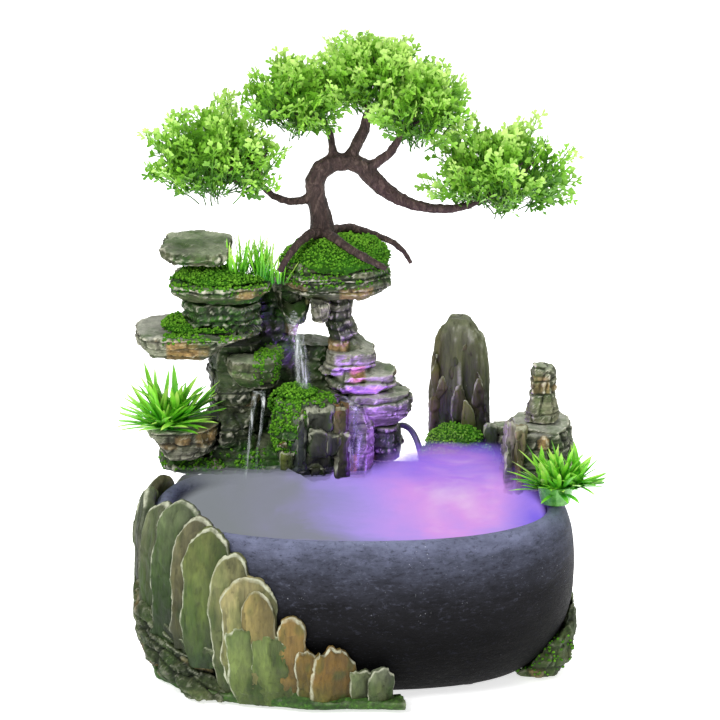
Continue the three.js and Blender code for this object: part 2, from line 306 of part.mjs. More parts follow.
// lead -------------------------------------------------------------------------------------------------
const CORD_MESH = ['lead_run', 'lead_coil', 'lead_plug'];
{
  const section = new THREE.Shape(); section.absarc(0, 0, CORD_R, 0, Math.PI * 2);
  const way = new THREE.CatmullRomCurve3(CORD_PATH.map(p => new THREE.Vector3(...p)), false, 'centripetal');
  const run = solid(new THREE.ExtrudeGeometry(section, { steps: 46, curveSegments: 3, extrudePath: way }));
  add('lead_run', run, tube(CORD_PATH, CORD_R, 8, 6, GAP + 0.1), CORD);
  const { x, y, r, w, h } = COIL, ring = [];
  for (let i = 0; i <= 8; i++) { const a = i / 8 * 2 * Math.PI; ring.push([r + w * Math.cos(a), 0.3 + h + h * Math.sin(a)]); }
  add('lead_coil', lathe(ring, x, y, 24), lathe(ring, x, y, 24), CORD);
  const [px, py, pz] = PLUG_AT;
  const bit = (r0, r1, x0, x1, n) => { const g = new THREE.CylinderGeometry(r0, r1, x1 - x0, n); g.rotateZ(Math.PI / 2); g.translate((x0 + x1) / 2, py, pz); return solid(g); };
  const plug = all([bit(4.5, 4.3, px - 11, px + 6, 14), bit(2.75, 2.75, px + 5, px + 15, 12), bit(1.9, 3.2, px - 21, px - 10, 12), tube([[54, py, 5.9], [59, py, 5.6], [63, py, 4.9], [67, py, pz]], CORD_R, 8, 4)]);
  add('lead_plug', plug, plug, RUBBER);
}
// basin, feet, slates, foot rocks --------------------------------------------------------------------------
function bowl(grow) {
  return rings(BOWL_WALL.length, BOWL_SIDES, (k, u, v) => {
    const [z, a, b] = BOWL_WALL[k], g = k < 10 ? grow : -grow, up = k === 9 || k === 10 ? grow : k === 0 ? -grow : k === BOWL_WALL.length - 1 ? grow : 0;
    if (Math.hypot(u, v) < 1e-6) return [BOWL_X, 0, z + up];
    const q = superPoint(u, v, a + g, b + g, BOWL_POWER);
    return [BOWL_X + q[0], q[1], z + up];
  });
}
add('basin_bowl', bowl(0), bowl(GAP), CHARCOAL);
FOOT_AT.forEach(([x, y], i) => add('foot_pad_' + ['front_left', 'front_right', 'rear_left', 'rear_right'][i], lathe([[0, 0], [FOOT_R - 0.6, 0], [FOOT_R, 0.6], [FOOT_R, FOOT_H], [0, FOOT_H]], x, y, 14), lathe([[0, -1], [FOOT_R + GAP, -1], [FOOT_R + GAP, FOOT_H + GAP], [0, FOOT_H + GAP]], x, y, 14), RUBBER));
function slate([x, side, top, width, off, foot], i, grow) {
  const rand = rng(101 + i), steps = 5, L = [];
  const c = Math.max(-1, Math.min(1, (x - BOWL_X) / 120)), f = side * Math.acos(c);
  for (let k = 0; k < steps; k++) {
    const z = foot + (top - foot) * [0, 0.35, 0.72, 0.93, 1][k], a = table(SLATE_OUT, z, 1) + off, b = table(SLATE_OUT, z, 2) + off;
    const q = superPoint(Math.cos(f), Math.sin(f), a, b, BOWL_POWER);
    L.push([q[0] + BOWL_X, q[1], z, width / 2 * [0.92, 1, 0.97, 0.74, 0.34][k] * (0.95 + 0.1 * rand())]);
  }
  const q0 = superPoint(Math.cos(f - 0.05), Math.sin(f - 0.05), 120, 80, BOWL_POWER), q1 = superPoint(Math.cos(f + 0.05), Math.sin(f + 0.05), 120, 80, BOWL_POWER);
  const t = new THREE.Vector2(q1[0] - q0[0], q1[1] - q0[1]).normalize(), out = new THREE.Vector2(-t.y, t.x);
  if (out.x * Math.cos(f) + out.y * Math.sin(f) < 0) { out.negate(); t.negate(); }
  return rings(steps, 8, (k, u, v) => {
    const [cx, cy, z, w] = L[k], depth = foot < 5 && k < 2 ? 15 : 9, zz = z + (k === 0 ? -grow : k === steps - 1 ? grow : 0);
    const s = superPoint(u, v, w + grow, depth / 2 + grow, 3);
    const mid = -depth / 2;
    return [cx + t.x * s[0] + out.x * (s[1] + mid), cy + t.y * s[0] + out.y * (s[1] + mid), zz];
  });
}
function plinth(grow) {
  const s = new THREE.Shape(), { z0, z1, from, to, out } = PLINTH, n = 18;
  for (let i = 0; i <= n; i++) { const f = from + (to - from) * i / n, q = superPoint(Math.cos(f), Math.sin(f), table(SLATE_OUT, 5, 1) + out + grow, table(SLATE_OUT, 5, 2) + out + grow, BOWL_POWER); i ? s.lineTo(q[0] + BOWL_X, q[1]) : s.moveTo(q[0] + BOWL_X, q[1]); }
  for (let i = n; i >= 0; i--) { const f = from + (to - from) * i / n, q = superPoint(Math.cos(f), Math.sin(f), 84 - grow, 43 - grow, BOWL_POWER); s.lineTo(q[0] + BOWL_X, q[1]); }
  const g = new THREE.ExtrudeGeometry(s, { depth: z1 - z0 + 2 * grow, bevelEnabled: false }); g.translate(0, 0, z0 - grow);
  return solid(g);
}
const BOWL_ROOM = [[1.5, 89.5, 48.5], [9, 102.5, 62.5], [30, 117.5, 76.5], [60, 122, 81.5], [84, 120, 79.4], [97, 115, 75], [160, 112, 72]];   // the room a rock beside the basin keeps clear
const bowlFull = rings(BOWL_ROOM.length, 20, (k, u, v) => {
  const [z, a, b] = BOWL_ROOM[k], q = superPoint(u, v, a, b, BOWL_POWER);
  return [BOWL_X + q[0], q[1], z];
});
const slates = grow => all([plinth(grow), ...SLATES.map((s, i) => slate(s, i, grow))]);
add('slate_screen', slates(0), slates(GAP), SLATE, [bowlFull]);
add('foot_rocks_left', rockSolid(FOOT_ROCKS), rockSolid(FOOT_ROCKS, GAP), SLATE, [bowlFull]);

// bonsai (before its rock, so that the rock gets the socket and the root seats) -----------------------------
const tree = g => all([bar(TRUNK, 8, g), ...BRANCHES.map(b => bar(b, 6, g)), ...ROOTS.map(b => bar(b, 6, g))]);
add('bonsai_trunk', tree(0), tree(GAP), BARK);
const rootsGrown = all([bar(TRUNK.slice(0, 6), 8, GAP + 0.1), ...ROOTS.map(b => bar(b, 6, GAP + 0.1))]);
const rootWay = all([0, 3, 6, 9, 12, 15, 18, 22].map(d => rootsGrown.translate([0, 0, d])));
let seed = 200;
for (const [name, def] of Object.entries(FOLIAGE)) { seed++; add(name, lump(def, seed, 14, 0.12), lump(def, seed, 14, 0.12, GAP), LEAF); }

// rockery ------------------------------------------------------------------------------------------------
const channel = bar([[-37.5, 78, 206, 7.5], [-36, 60, 202, 7.2], [-34, 30, 190, 6.2]], 12);
const extra = {
  right_base_rock: [bowlFull],
  spout_upper: [channel],
  plunge_pool: [lump([[-26, 55, 149], [15, 11, 10.5]], 1, 14, 0)],
  tree_rock: [rootWay, channel],
  moss_tree: [rootWay],
};
const JOINED = {   // rocks moulded as one piece with the first of the list
  rockery_core: ['rockery_base', 'neck_lower', 'neck_mid', 'neck_upper', 'column_back', 'back_wall'],
  column_right: ['column_right', 'ledge_right_upper', 'ledge_right_middle'],
  rock_wall_right: ['rock_wall_right', 'saddle_wall'],
};
const done = new Set();
for (const name of Object.keys(ROCKS)) {
  if (done.has(name)) continue;
  const group = Object.entries(JOINED).find(([, l]) => l.includes(name)) || [name, [name]];
  group[1].forEach(n => done.add(n));
  add(group[0], all(group[1].map(n => rockSolid(ROCKS[n]))), all(group[1].map(n => rockSolid(ROCKS[n], GAP))), ROCK, extra[group[0]] || []);
}
// plants and moss ------------------------------------------------------------------------------------------
{
  const x = 110, y = -5, cup = [[0, 97.6], [8, 97.6], [10.6, 108], [9.4, 108], [7, 99], [0, 99]];
  add('planter_cup_right', lathe(cup, x, y, 20), lathe([[0, 97.2], [8.3, 97.2], [10.9, 108.3], [0, 108.3]], x, y, 20), GRASS_GREEN);
}
for (const [name, def] of Object.entries(GRASS)) { seed++; add(name, lump(def, seed, 12, 0.1), lump(def, seed, 12, 0.1, GAP), GRASS_GREEN); }
for (const [name, def] of Object.entries(MOSS)) { seed++; add(name, lump(def, seed, 14, 0.1), lump(def, seed, 14, 0.1, GAP), MOSS_GREEN, extra[name] || []); }

fountain.position.set(ORIGIN_SHIFT[0], ORIGIN_SHIFT[1], 0);
fountain.updateMatrixWorld(true);
export default fountain;
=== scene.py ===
import bpy
import bmesh
import math
import random
import numpy as np
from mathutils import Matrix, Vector

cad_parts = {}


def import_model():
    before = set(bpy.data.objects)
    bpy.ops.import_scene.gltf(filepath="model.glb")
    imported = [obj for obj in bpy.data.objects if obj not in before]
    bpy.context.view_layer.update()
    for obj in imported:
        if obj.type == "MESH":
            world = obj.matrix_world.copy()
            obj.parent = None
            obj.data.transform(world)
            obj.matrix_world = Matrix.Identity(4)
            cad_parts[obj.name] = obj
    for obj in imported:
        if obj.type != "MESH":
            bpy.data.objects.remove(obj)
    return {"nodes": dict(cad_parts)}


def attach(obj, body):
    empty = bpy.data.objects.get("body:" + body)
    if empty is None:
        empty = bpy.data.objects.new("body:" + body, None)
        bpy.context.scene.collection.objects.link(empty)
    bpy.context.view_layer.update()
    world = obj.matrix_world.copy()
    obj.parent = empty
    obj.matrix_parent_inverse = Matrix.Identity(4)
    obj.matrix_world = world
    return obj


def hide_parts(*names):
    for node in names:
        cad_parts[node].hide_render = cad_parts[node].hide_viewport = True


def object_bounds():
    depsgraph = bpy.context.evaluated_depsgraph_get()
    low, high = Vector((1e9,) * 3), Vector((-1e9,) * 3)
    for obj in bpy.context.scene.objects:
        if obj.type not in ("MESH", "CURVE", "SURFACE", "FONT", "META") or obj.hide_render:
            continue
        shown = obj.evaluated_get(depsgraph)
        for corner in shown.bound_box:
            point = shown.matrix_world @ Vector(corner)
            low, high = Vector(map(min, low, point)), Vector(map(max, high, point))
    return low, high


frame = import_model()
cad_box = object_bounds()
NODES = frame["nodes"]
scene = bpy.context.scene
scene.view_settings.view_transform = "Standard"
scene.cycles.transparent_max_bounces = 24

MM = 0.001
SHIFT = np.array([-1.87, -3.19, 0.0])      # the working frame of the measurements, moved to the row frame


def W(x, y, z):
    return Vector(((x + SHIFT[0]) * MM, (y + SHIFT[1]) * MM, z * MM))


# ------------------------------------------------------------------ camera
cam_data = bpy.data.cameras.new("camera")
cam_data.lens, cam_data.sensor_width, cam_data.clip_start, cam_data.clip_end = 200, 36, 0.1, 30
camera = bpy.data.objects.new("camera", cam_data)
scene.collection.objects.link(camera)
tilt = math.radians(17)
target = W(1.65, 0, 178.3)
camera.location = target + Vector((0, -math.cos(tilt), math.sin(tilt))) * 2.2
camera.rotation_euler = (target - camera.location).to_track_quat("-Z", "Y").to_euler()
scene.camera = camera


# ------------------------------------------------------------------ small node library
def lin(c, a=1.0):
    return tuple((x / 255 / 12.92 if x / 255 <= 0.04045 else ((x / 255 + 0.055) / 1.055) ** 2.4) for x in c) + (a,)


class Mat:
    def __init__(self, name, rough=0.7, metallic=0.0, spec=None):
        self.m = bpy.data.materials.new(name)
        self.m.use_nodes = True
        self.t = self.m.node_tree
        self.t.nodes.clear()
        self.out = self.t.nodes.new("ShaderNodeOutputMaterial")
        self.b = self.t.nodes.new("ShaderNodeBsdfPrincipled")
        self.t.links.new(self.b.outputs[0], self.out.inputs[0])
        self.b.inputs["Roughness"].default_value = rough
        self.b.inputs["Metallic"].default_value = metallic
        if spec is not None:
            self.b.inputs["Specular IOR Level"].default_value = spec
        self.co = self.t.nodes.new("ShaderNodeTexCoord").outputs["Object"]

    def put(self, sock, v):
        if isinstance(v, bpy.types.NodeSocket):
            self.t.links.new(v, sock)
        else:
            sock.default_value = v

    def set(self, name, v):
        self.put(self.b.inputs[name], v)

    def scaled(self, s, turn=None):
        n = self.t.nodes.new("ShaderNodeMapping")
        n.inputs["Scale"].default_value = s
        if turn:
            n.inputs["Rotation"].default_value = turn
        self.t.links.new(self.co, n.inputs["Vector"])
        return n.outputs[0]

    def noise(self, scale, detail=3.0, rough=0.55, vec=None, warp=0.0):
        n = self.t.nodes.new("ShaderNodeTexNoise")
        n.inputs["Scale"].default_value = scale
        n.inputs["Detail"].default_value = detail
        n.inputs["Roughness"].default_value = rough
        n.inputs["Distortion"].default_value = warp
        self.t.links.new(vec or self.co, n.inputs["Vector"])
        return n.outputs["Fac"]

    def cells(self, scale, feature="F1", vec=None, out="Distance", rand=1.0):
        n = self.t.nodes.new("ShaderNodeTexVoronoi")
        n.feature = feature
        n.inputs["Scale"].default_value = scale
        n.inputs["Randomness"].default_value = rand
        self.t.links.new(vec or self.co, n.inputs["Vector"])
        return n.outputs[out]

    def ramp(self, fac, *stops):
        n = self.t.nodes.new("ShaderNodeValToRGB")
        e = n.color_ramp.elements
        for _ in range(len(stops) - 2):
            e.new(0.5)
        for el, (p, c) in zip(e, stops):
            el.position = p
            el.color = c if not isinstance(c, (int, float)) else (c, c, c, 1)
        self.t.links.new(fac, n.inputs["Fac"])
        return n.outputs["Color"]

    def mix(self, fac, a, b, blend="MIX"):
        n = self.t.nodes.new("ShaderNodeMix")
        n.data_type, n.blend_type = "RGBA", blend
        self.put(n.inputs[0], fac)
        self.put(n.inputs[6], a)
        self.put(n.inputs[7], b)
        return n.outputs[2]

    def math(self, op, a, b=0.0, clamp=False):
        n = self.t.nodes.new("ShaderNodeMath")
        n.operation, n.use_clamp = op, clamp
        self.put(n.inputs[0], a)
        self.put(n.inputs[1], b)
        return n.outputs[0]

    def attr(self, name):
        n = self.t.nodes.new("ShaderNodeAttribute")
        n.attribute_name = name
        return n.outputs["Fac"]

    def tint(self, name):
        n = self.t.nodes.new("ShaderNodeAttribute")
        n.attribute_name = name
        return n.outputs["Color"]

    def xyz(self, which, source=None):
        n = self.t.nodes.new("ShaderNodeSeparateXYZ")
        self.t.links.new(source or self.co, n.inputs[0])
        return n.outputs[which]

    def up(self):
        g = self.t.nodes.new("ShaderNodeNewGeometry")
        return self.xyz("Z", g.outputs["Normal"])

    def point(self):
        return self.t.nodes.new("ShaderNodeNewGeometry").outputs["Pointiness"]

    def bump(self, height, strength=0.5, distance=0.001, normal=None):
        n = self.t.nodes.new("ShaderNodeBump")
        n.inputs["Strength"].default_value = strength
        n.inputs["Distance"].default_value = distance
        self.t.links.new(height, n.inputs["Height"])
        if normal is not None:
            self.t.links.new(normal, n.inputs["Normal"])
        return n.outputs[0]


# ------------------------------------------------------------------ seeded noise on arrays of points
def hashed(ix, iy, iz, seed):
    with np.errstate(over="ignore"):
        h = (ix.astype(np.int64).astype(np.uint32) * np.uint32(0x8DA6B343)) ^ (iy.astype(np.int64).astype(np.uint32) * np.uint32(0xD8163841)) ^ (iz.astype(np.int64).astype(np.uint32) * np.uint32(0xCB1AB31F)) ^ np.uint32((seed * 0x9E3779B9) & 0xFFFFFFFF)
        h = (h ^ (h >> np.uint32(13))) * np.uint32(0x5BD1E995)
        h = (h ^ (h >> np.uint32(15))) * np.uint32(0x27D4EB2D)
        h = h ^ (h >> np.uint32(16))
    return h.astype(np.float64) / 4294967296.0


def vnoise(p, seed=0):
    i = np.floor(p)
    f = p - i
    f = f * f * (3 - 2 * f)
    out = np.zeros(len(p))
    for dx in (0, 1):
        for dy in (0, 1):
            for dz in (0, 1):
                w = (f[:, 0] if dx else 1 - f[:, 0]) * (f[:, 1] if dy else 1 - f[:, 1]) * (f[:, 2] if dz else 1 - f[:, 2])
                out += w * hashed(i[:, 0] + dx, i[:, 1] + dy, i[:, 2] + dz, seed)
    return out * 2 - 1


def fbm(p, octaves=4, seed=0):
    s, a, t = np.zeros(len(p)), 1.0, 0.0
    for k in range(octaves):
        s += a * vnoise(p * 2 ** k + k * 17.3, seed + k)
        t += a
        a *= 0.55
    return s / t


def worley(p, seed=0):
    i = np.floor(p)
    d1, d2, who = np.full(len(p), 9.0), np.full(len(p), 9.0), np.zeros(len(p))
    for dx in (-1, 0, 1):
        for dy in (-1, 0, 1):
            for dz in (-1, 0, 1):
                c = i + [dx, dy, dz]
                q = c + np.stack([hashed(c[:, 0], c[:, 1], c[:, 2], seed + s) for s in (1, 2, 3)], 1)
                d = np.linalg.norm(q - p, axis=1)
                r = hashed(c[:, 0], c[:, 1], c[:, 2], seed + 9)
                near = d < d1
                d2 = np.where(near, d1, np.minimum(d2, d))
                who = np.where(near, r, who)
                d1 = np.where(near, d, d1)
    return d1, d2, who


def smooth(a, lo, hi):
    t = np.clip((a - lo) / (hi - lo), 0, 1)
    return t * t * (3 - 2 * t)


# ------------------------------------------------------------------ mesh helpers
def obj(name, verts, faces, mats=(), shade=True, attrs=None):
    me = bpy.data.meshes.new(name)
    verts = np.asarray(verts, dtype=np.float32)
    me.vertices.add(len(verts))
    me.vertices.foreach_set("co", verts.ravel())
    if isinstance(faces, np.ndarray):
        n, k = faces.shape
        me.loops.add(n * k)
        me.loops.foreach_set("vertex_index", faces.astype(np.int32).ravel())
        me.polygons.add(n)
        me.polygons.foreach_set("loop_start", np.arange(0, n * k, k, dtype=np.int32))
    else:
        sizes = np.array([len(f) for f in faces])
        me.loops.add(int(sizes.sum()))
        me.loops.foreach_set("vertex_index", np.concatenate([np.asarray(f) for f in faces]).astype(np.int32))
        me.polygons.add(len(faces))
        me.polygons.foreach_set("loop_start", np.concatenate([[0], np.cumsum(sizes)[:-1]]).astype(np.int32))
    me.update(calc_edges=True)
    me.validate()
    if shade:
        me.polygons.foreach_set("use_smooth", [True] * len(me.polygons))
    for m in mats:
        me.materials.append(m.m if isinstance(m, Mat) else m)
    for k, v in (attrs or {}).items():
        me.attributes.new(k, "FLOAT", "POINT").data.foreach_set("value", np.asarray(v, dtype=np.float32))
    o = bpy.data.objects.new(name, me)
    scene.collection.objects.link(o)
    return o


def points_of(me):
    p = np.empty(len(me.vertices) * 3, dtype=np.float32)
    me.vertices.foreach_get("co", p)
    n = np.empty(len(me.vertices) * 3, dtype=np.float32)
    me.vertices.foreach_get("normal", n)
    return p.reshape(-1, 3).astype(float), n.reshape(-1, 3).astype(float)


def remeshed(name, source, voxel):
    """source: a mesh, or (verts, faces). Returns a fresh voxel-remeshed object."""
    o = bpy.data.objects.new(name, source.copy()) if isinstance(source, bpy.types.Mesh) else obj(name, *source)
    if o.name not in scene.collection.objects:
        scene.collection.objects.link(o)
    o.data.materials.clear()
    mod = o.modifiers.new("r", "REMESH")
    mod.mode, mod.voxel_size = "VOXEL", voxel
    dg = bpy.context.evaluated_depsgraph_get()
    me = bpy.data.meshes.new_from_object(o.evaluated_get(dg))
    o.modifiers.clear()
    old, o.data = o.data, me
    bpy.data.meshes.remove(old)
    me.name = name
    return o


def set_points(o, p):
    o.data.vertices.foreach_set("co", p.astype(np.float32).ravel())
    o.data.update()
    o.data.polygons.foreach_set("use_smooth", [True] * len(o.data.polygons))


def put_attr(o, name, values):
    o.data.attributes.new(name, "FLOAT", "POINT").data.foreach_set("value", np.asarray(values, dtype=np.float32))


def put_tint(o, name, rgb):
    a = o.data.attributes.new(name, "FLOAT_COLOR", "POINT")
    a.data.foreach_set("color", np.concatenate([rgb, np.ones((len(rgb), 1))], 1).astype(np.float32).ravel())


def tri_arrays(me):
    me.calc_loop_triangles()
    t = np.empty(len(me.loop_triangles) * 3, dtype=np.int32)
    me.loop_triangles.foreach_get("vertices", t)
    return t.reshape(-1, 3)


def superpoint(f, a, b, p=2.3):
    c, s = np.cos(f), np.sin(f)
    return a * np.sign(c) * np.abs(c) ** (2 / p), b * np.sign(s) * np.abs(s) ** (2 / p)


# ------------------------------------------------------------------ the mist maker's lead
CORD_PATH = [
    (48, 15.6, 25), (47.6, 22, 24), (46.8, 30, 24.5), (45.2, 39, 29), (43.4, 46.5, 39), (41.8, 51.5, 52), (40.4, 54.6, 66),
    (39.2, 56, 80), (37.9, 56.6, 93), (36.4, 57.4, 104), (34, 59.8, 112), (30.4, 64.4, 117.2), (25.6, 70.4, 117.8), (20.4, 77, 113.4),
    (15.6, 82.2, 104), (12.2, 84.6, 91), (10.4, 84.8, 76), (9.6, 84.8, 58), (9.6, 85.2, 40), (10.2, 86.6, 24), (12.4, 90.4, 11.5),
    (17, 96.6, 4.6), (24, 101.4, 2.4), (32, 104.2, 2.1), (41, 105.6, 2.1), (48, 105.9, 2.1),
]


def catmull(points, per):
    P = [Vector(p) for p in points]
    P = [P[0] * 2 - P[1]] + P + [P[-1] * 2 - P[-2]]
    out = []
    for i in range(1, len(P) - 2):
        a, b, c, d = P[i - 1:i + 3]
        for k in range(per):
            t = k / per
            out.append(0.5 * (2 * b + (c - a) * t + (2 * a - 5 * b + 4 * c - d) * t * t + (3 * b - a - 3 * c + d) * t ** 3))
    out.append(P[-2])
    return out


def coil_points():
    cx, cy, mid, step, turns = 52, 132.5, 21.0, 3.75, 8
    out, n = [], 28
    for k in range(turns * n + 1):
        t = k / n                                   # turns so far
        layer = 0 if t < 4 else 1
        s = t - 4 * layer
        col = min(3.0, s) if layer == 0 else 3 - min(3.0, max(0.0, s - 0.5))
        # the lead steps from one turn to the next within the last part of each turn
        col = math.floor(col) + smooth(np.array(col - math.floor(col)), 0.72, 1.0).item()
        r = mid + step * (1.5 - col)
        z = 2.15 + 3.7 * smooth(np.array(t), 3.7, 4.25).item()
        a = -math.pi / 2 + 2 * math.pi * t
        out.append(Vector((cx + r * math.cos(a), cy + r * math.sin(a), z)))
    return out


route = catmull(CORD_PATH, 4)[:-1]
coil = coil_points()
tail = [Vector((56, 105.9, 5.8)), Vector((60, 105.9, 5.5)), Vector((64, 105.9, 5.0)), Vector((68, 105.9, 4.7)), Vector((72, 105.9, 4.6))]
whole = [p for p in route if (p - coil[0]).length > 2.5] + coil + tail
curve = bpy.data.curves.new("mist_maker_lead", "CURVE")
curve.dimensions, curve.bevel_depth, curve.bevel_resolution, curve.use_fill_caps = "3D", 0.0018, 3, True
spline = curve.splines.new("POLY")
spline.points.add(len(whole) - 1)
for pt, p in zip(spline.points, whole):
    v = W(*p)
    pt.co = (v.x, v.y, v.z, 1)
lead = bpy.data.objects.new("mist_maker_lead", curve)
scene.collection.objects.link(lead)
lead_length = sum((a - b).length for a, b in zip(whole, whole[1:])) * MM

# ------------------------------------------------------------------ materials
def rock_material(name, dark, mid, light, top, tan, green, scale=1.0, rough=(0.62, 0.92), pale_edge_and_highlight=0.8):
    m = Mat(name, rough=0.82, spec=0.3)
    big = m.noise(34 * scale, 5, 0.62, warp=0.5)
    fine = m.noise(420 * scale, 5, 0.65)
    strata = m.noise(85 * scale, 5, 0.65, vec=m.scaled((0.3, 0.3, 3.4)), warp=0.5)
    side = m.ramp(m.math("ADD", m.math("MULTIPLY", big, 0.55), m.math("MULTIPLY", strata, 0.45)), (0.38, lin(dark)), (0.5, lin(mid)), (0.63, lin(light)))
    # up-facing faces take the paler top colour: partly the rock's own grey-green top, partly painted light from above
    flat = m.ramp(big, (0.34, lin([c * 0.72 for c in top])), (0.6, lin(top)))
    base = m.mix(m.ramp(m.up(), (0.5, 0), (0.85, 1)), side, flat)
    base = m.mix(m.ramp(m.up(), (0.0, 1), (0.28, 0)), base, m.mix(0.0, base, base))
    base = m.mix(m.attr("tan"), base, m.ramp(fine, (0.3, lin([c * 0.82 for c in tan])), (0.72, lin([min(255, c * 1.12) for c in tan]))))
    wash = m.math("MULTIPLY", m.ramp(m.noise(48 * scale, 4, 0.65), (0.44, 0), (0.6, 1)), m.ramp(m.up(), (0.0, 0.45), (0.8, 0.75)))
    base = m.mix(wash, base, lin(green))
    base = m.mix(m.attr("grn"), base, m.ramp(fine, (0.3, lin((18, 50, 6))), (0.55, lin((44, 92, 18))), (0.75, lin((92, 150, 44)))))
    base = m.mix(0.7, base, m.ramp(fine, (0.32, 0.5), (0.7, 1.2)), "MULTIPLY")
    # recessed bed lines and joints darkened: painted shade in the cracks
    base = m.mix(m.math("MULTIPLY", m.attr("crack_painted_shade"), 0.8), base, lin([c * 0.4 for c in dark]))
    # concave spots darkened by pointiness: painted shade in the hollows
    point = m.point()
    base = m.mix(m.ramp(point, (0.40, 0.85), (0.485, 0)), base, lin([c * 0.35 for c in dark]))
    # convex edges made pale by pointiness, broken by noise: pale chipped edges and painted highlight
    base = m.mix(m.math("MULTIPLY", m.ramp(point, (0.52, 0), (0.585, pale_edge_and_highlight)), m.ramp(m.noise(240, 3), (0.36, 0.1), (0.56, 1))), base, lin((226, 223, 202)))
    m.set("Base Color", base)
    m.set("Roughness", m.ramp(fine, (0.3, rough[0]), (0.8, rough[1])))
    chips = m.cells(210 * scale, "DISTANCE_TO_EDGE", vec=m.scaled((1, 1, 2.0)))
    h = m.math("ADD", m.math("MULTIPLY", fine, 0.6), m.math("MULTIPLY", m.ramp(chips, (0.0, 0), (0.09, 1)), 0.2))
    m.set("Normal", m.bump(m.math("ADD", h, m.math("MULTIPLY", strata, 1.0)), 0.7, 0.0010))
    return m


ROCK = rock_material("rock_resin_look", (26, 32, 16), (84, 88, 62), (154, 154, 122), (152, 160, 132), (170, 142, 92), (62, 92, 34))
DARKROCK = rock_material("wet_rock_look", (14, 22, 9), (40, 52, 26), (98, 104, 74), (98, 106, 78), (140, 120, 76), (46, 84, 24), 0.9, rough=(0.3, 0.7), pale_edge_and_highlight=0.6)
GREYROCK = rock_material("grey_rock_look", (34, 38, 28), (108, 109, 90), (184, 182, 160), (178, 180, 164), (170, 138, 88), (64, 90, 40))
SLATE = rock_material("slate_look", (34, 44, 22), (58, 70, 38), (92, 100, 62), (96, 106, 66), (126, 108, 66), (62, 92, 34), 0.9, pale_edge_and_highlight=0.2)

FLAKE = Mat("slate_flake_look", rough=0.7, spec=0.32)
_ff = FLAKE.noise(300, 4, 0.62, vec=FLAKE.scaled((1.3, 1.3, 0.45)))
_fb = FLAKE.noise(46, 4, 0.6, vec=FLAKE.scaled((1.2, 1.2, 0.55)), warp=0.6)
_fv = FLAKE.noise(300, 4, 0.7, vec=FLAKE.scaled((1.0, 1.0, 0.13)), warp=0.25)
_fc = FLAKE.mix(0.6, FLAKE.tint("tint"), FLAKE.ramp(_ff, (0.3, 0.62), (0.7, 1.18)), "MULTIPLY")
_fc = FLAKE.mix(0.75, _fc, FLAKE.ramp(_fb, (0.34, 0.66), (0.62, 1.12)), "MULTIPLY")
_fc = FLAKE.mix(0.7, _fc, FLAKE.ramp(_fv, (0.34, 0.6), (0.66, 1.3)), "MULTIPLY")
# concave spots darkened by pointiness: painted shade in the hollows
_fc = FLAKE.mix(FLAKE.ramp(FLAKE.point(), (0.42, 0.8), (0.488, 0)), _fc, lin((24, 30, 14)))
# pale rim along the flake edges: pale chipped edge and painted highlight
_fc = FLAKE.mix(FLAKE.math("MULTIPLY", FLAKE.attr("pale_edge_and_highlight"), FLAKE.ramp(FLAKE.noise(130, 3, 0.7), (0.36, 0.3), (0.54, 1))), _fc, lin((204, 207, 182)))
FLAKE.set("Base Color", _fc)
FLAKE.set("Roughness", FLAKE.ramp(_ff, (0.3, 0.5), (0.75, 0.8)))
FLAKE.set("Normal", FLAKE.bump(FLAKE.math("ADD", FLAKE.math("MULTIPLY", _fv, 1.3), FLAKE.math("ADD", FLAKE.math("MULTIPLY", _ff, 0.5), _fb)), 0.75, 0.0012))

MOSS = Mat("moss_look", rough=0.95, spec=0.15)
_n = MOSS.noise(900, 4, 0.7)
_c = MOSS.ramp(MOSS.attr("shade"), (0.0, lin((18, 48, 6))), (0.45, lin((58, 112, 20))), (1.0, lin((124, 186, 52))))
_c = MOSS.mix(0.55, _c, MOSS.ramp(_n, (0.25, 0.35), (0.7, 1.3)), "MULTIPLY")
_c = MOSS.mix(MOSS.ramp(MOSS.noise(70, 2), (0.45, 0), (0.62, 0.5)), _c, lin((58, 122, 26)))
MOSS.set("Base Color", _c)
MOSS.set("Normal", MOSS.bump(_n, 0.8, 0.0006))

LEAF = Mat("leaf_look", rough=0.42, spec=0.45)
_l = LEAF.ramp(LEAF.attr("shade"), (0.0, lin((30, 74, 12))), (0.32, lin((80, 140, 30))), (0.66, lin((136, 196, 56))), (1.0, lin((200, 236, 126))))
_l = LEAF.mix(0.5, _l, LEAF.ramp(LEAF.noise(260, 3), (0.3, 0.6), (0.7, 1.25)), "MULTIPLY")
LEAF.set("Base Color", _l)
LEAF.b.inputs["Subsurface Weight"].default_value = 0.0
LEAF.set("Roughness", LEAF.ramp(LEAF.noise(500, 2), (0.3, 0.34), (0.7, 0.55)))
LEAF.set("Normal", LEAF.bump(LEAF.noise(1500, 2), 0.3, 0.0003))

GRASS = Mat("grass_blade_look", rough=0.35, spec=0.5)
_g = GRASS.ramp(GRASS.attr("shade"), (0.0, lin((20, 96, 26))), (0.36, lin((70, 170, 36))), (0.7, lin((146, 226, 62))), (1.0, lin((212, 248, 120))))
_g = GRASS.mix(0.45, _g, GRASS.ramp(GRASS.noise(420, 2, vec=GRASS.scaled((1, 1, 0.25))), (0.3, 0.65), (0.7, 1.2)), "MULTIPLY")
GRASS.set("Base Color", _g)
GRASS.set("Normal", GRASS.bump(GRASS.noise(900, 2, vec=GRASS.scaled((1, 1, 0.2))), 0.35, 0.0004))

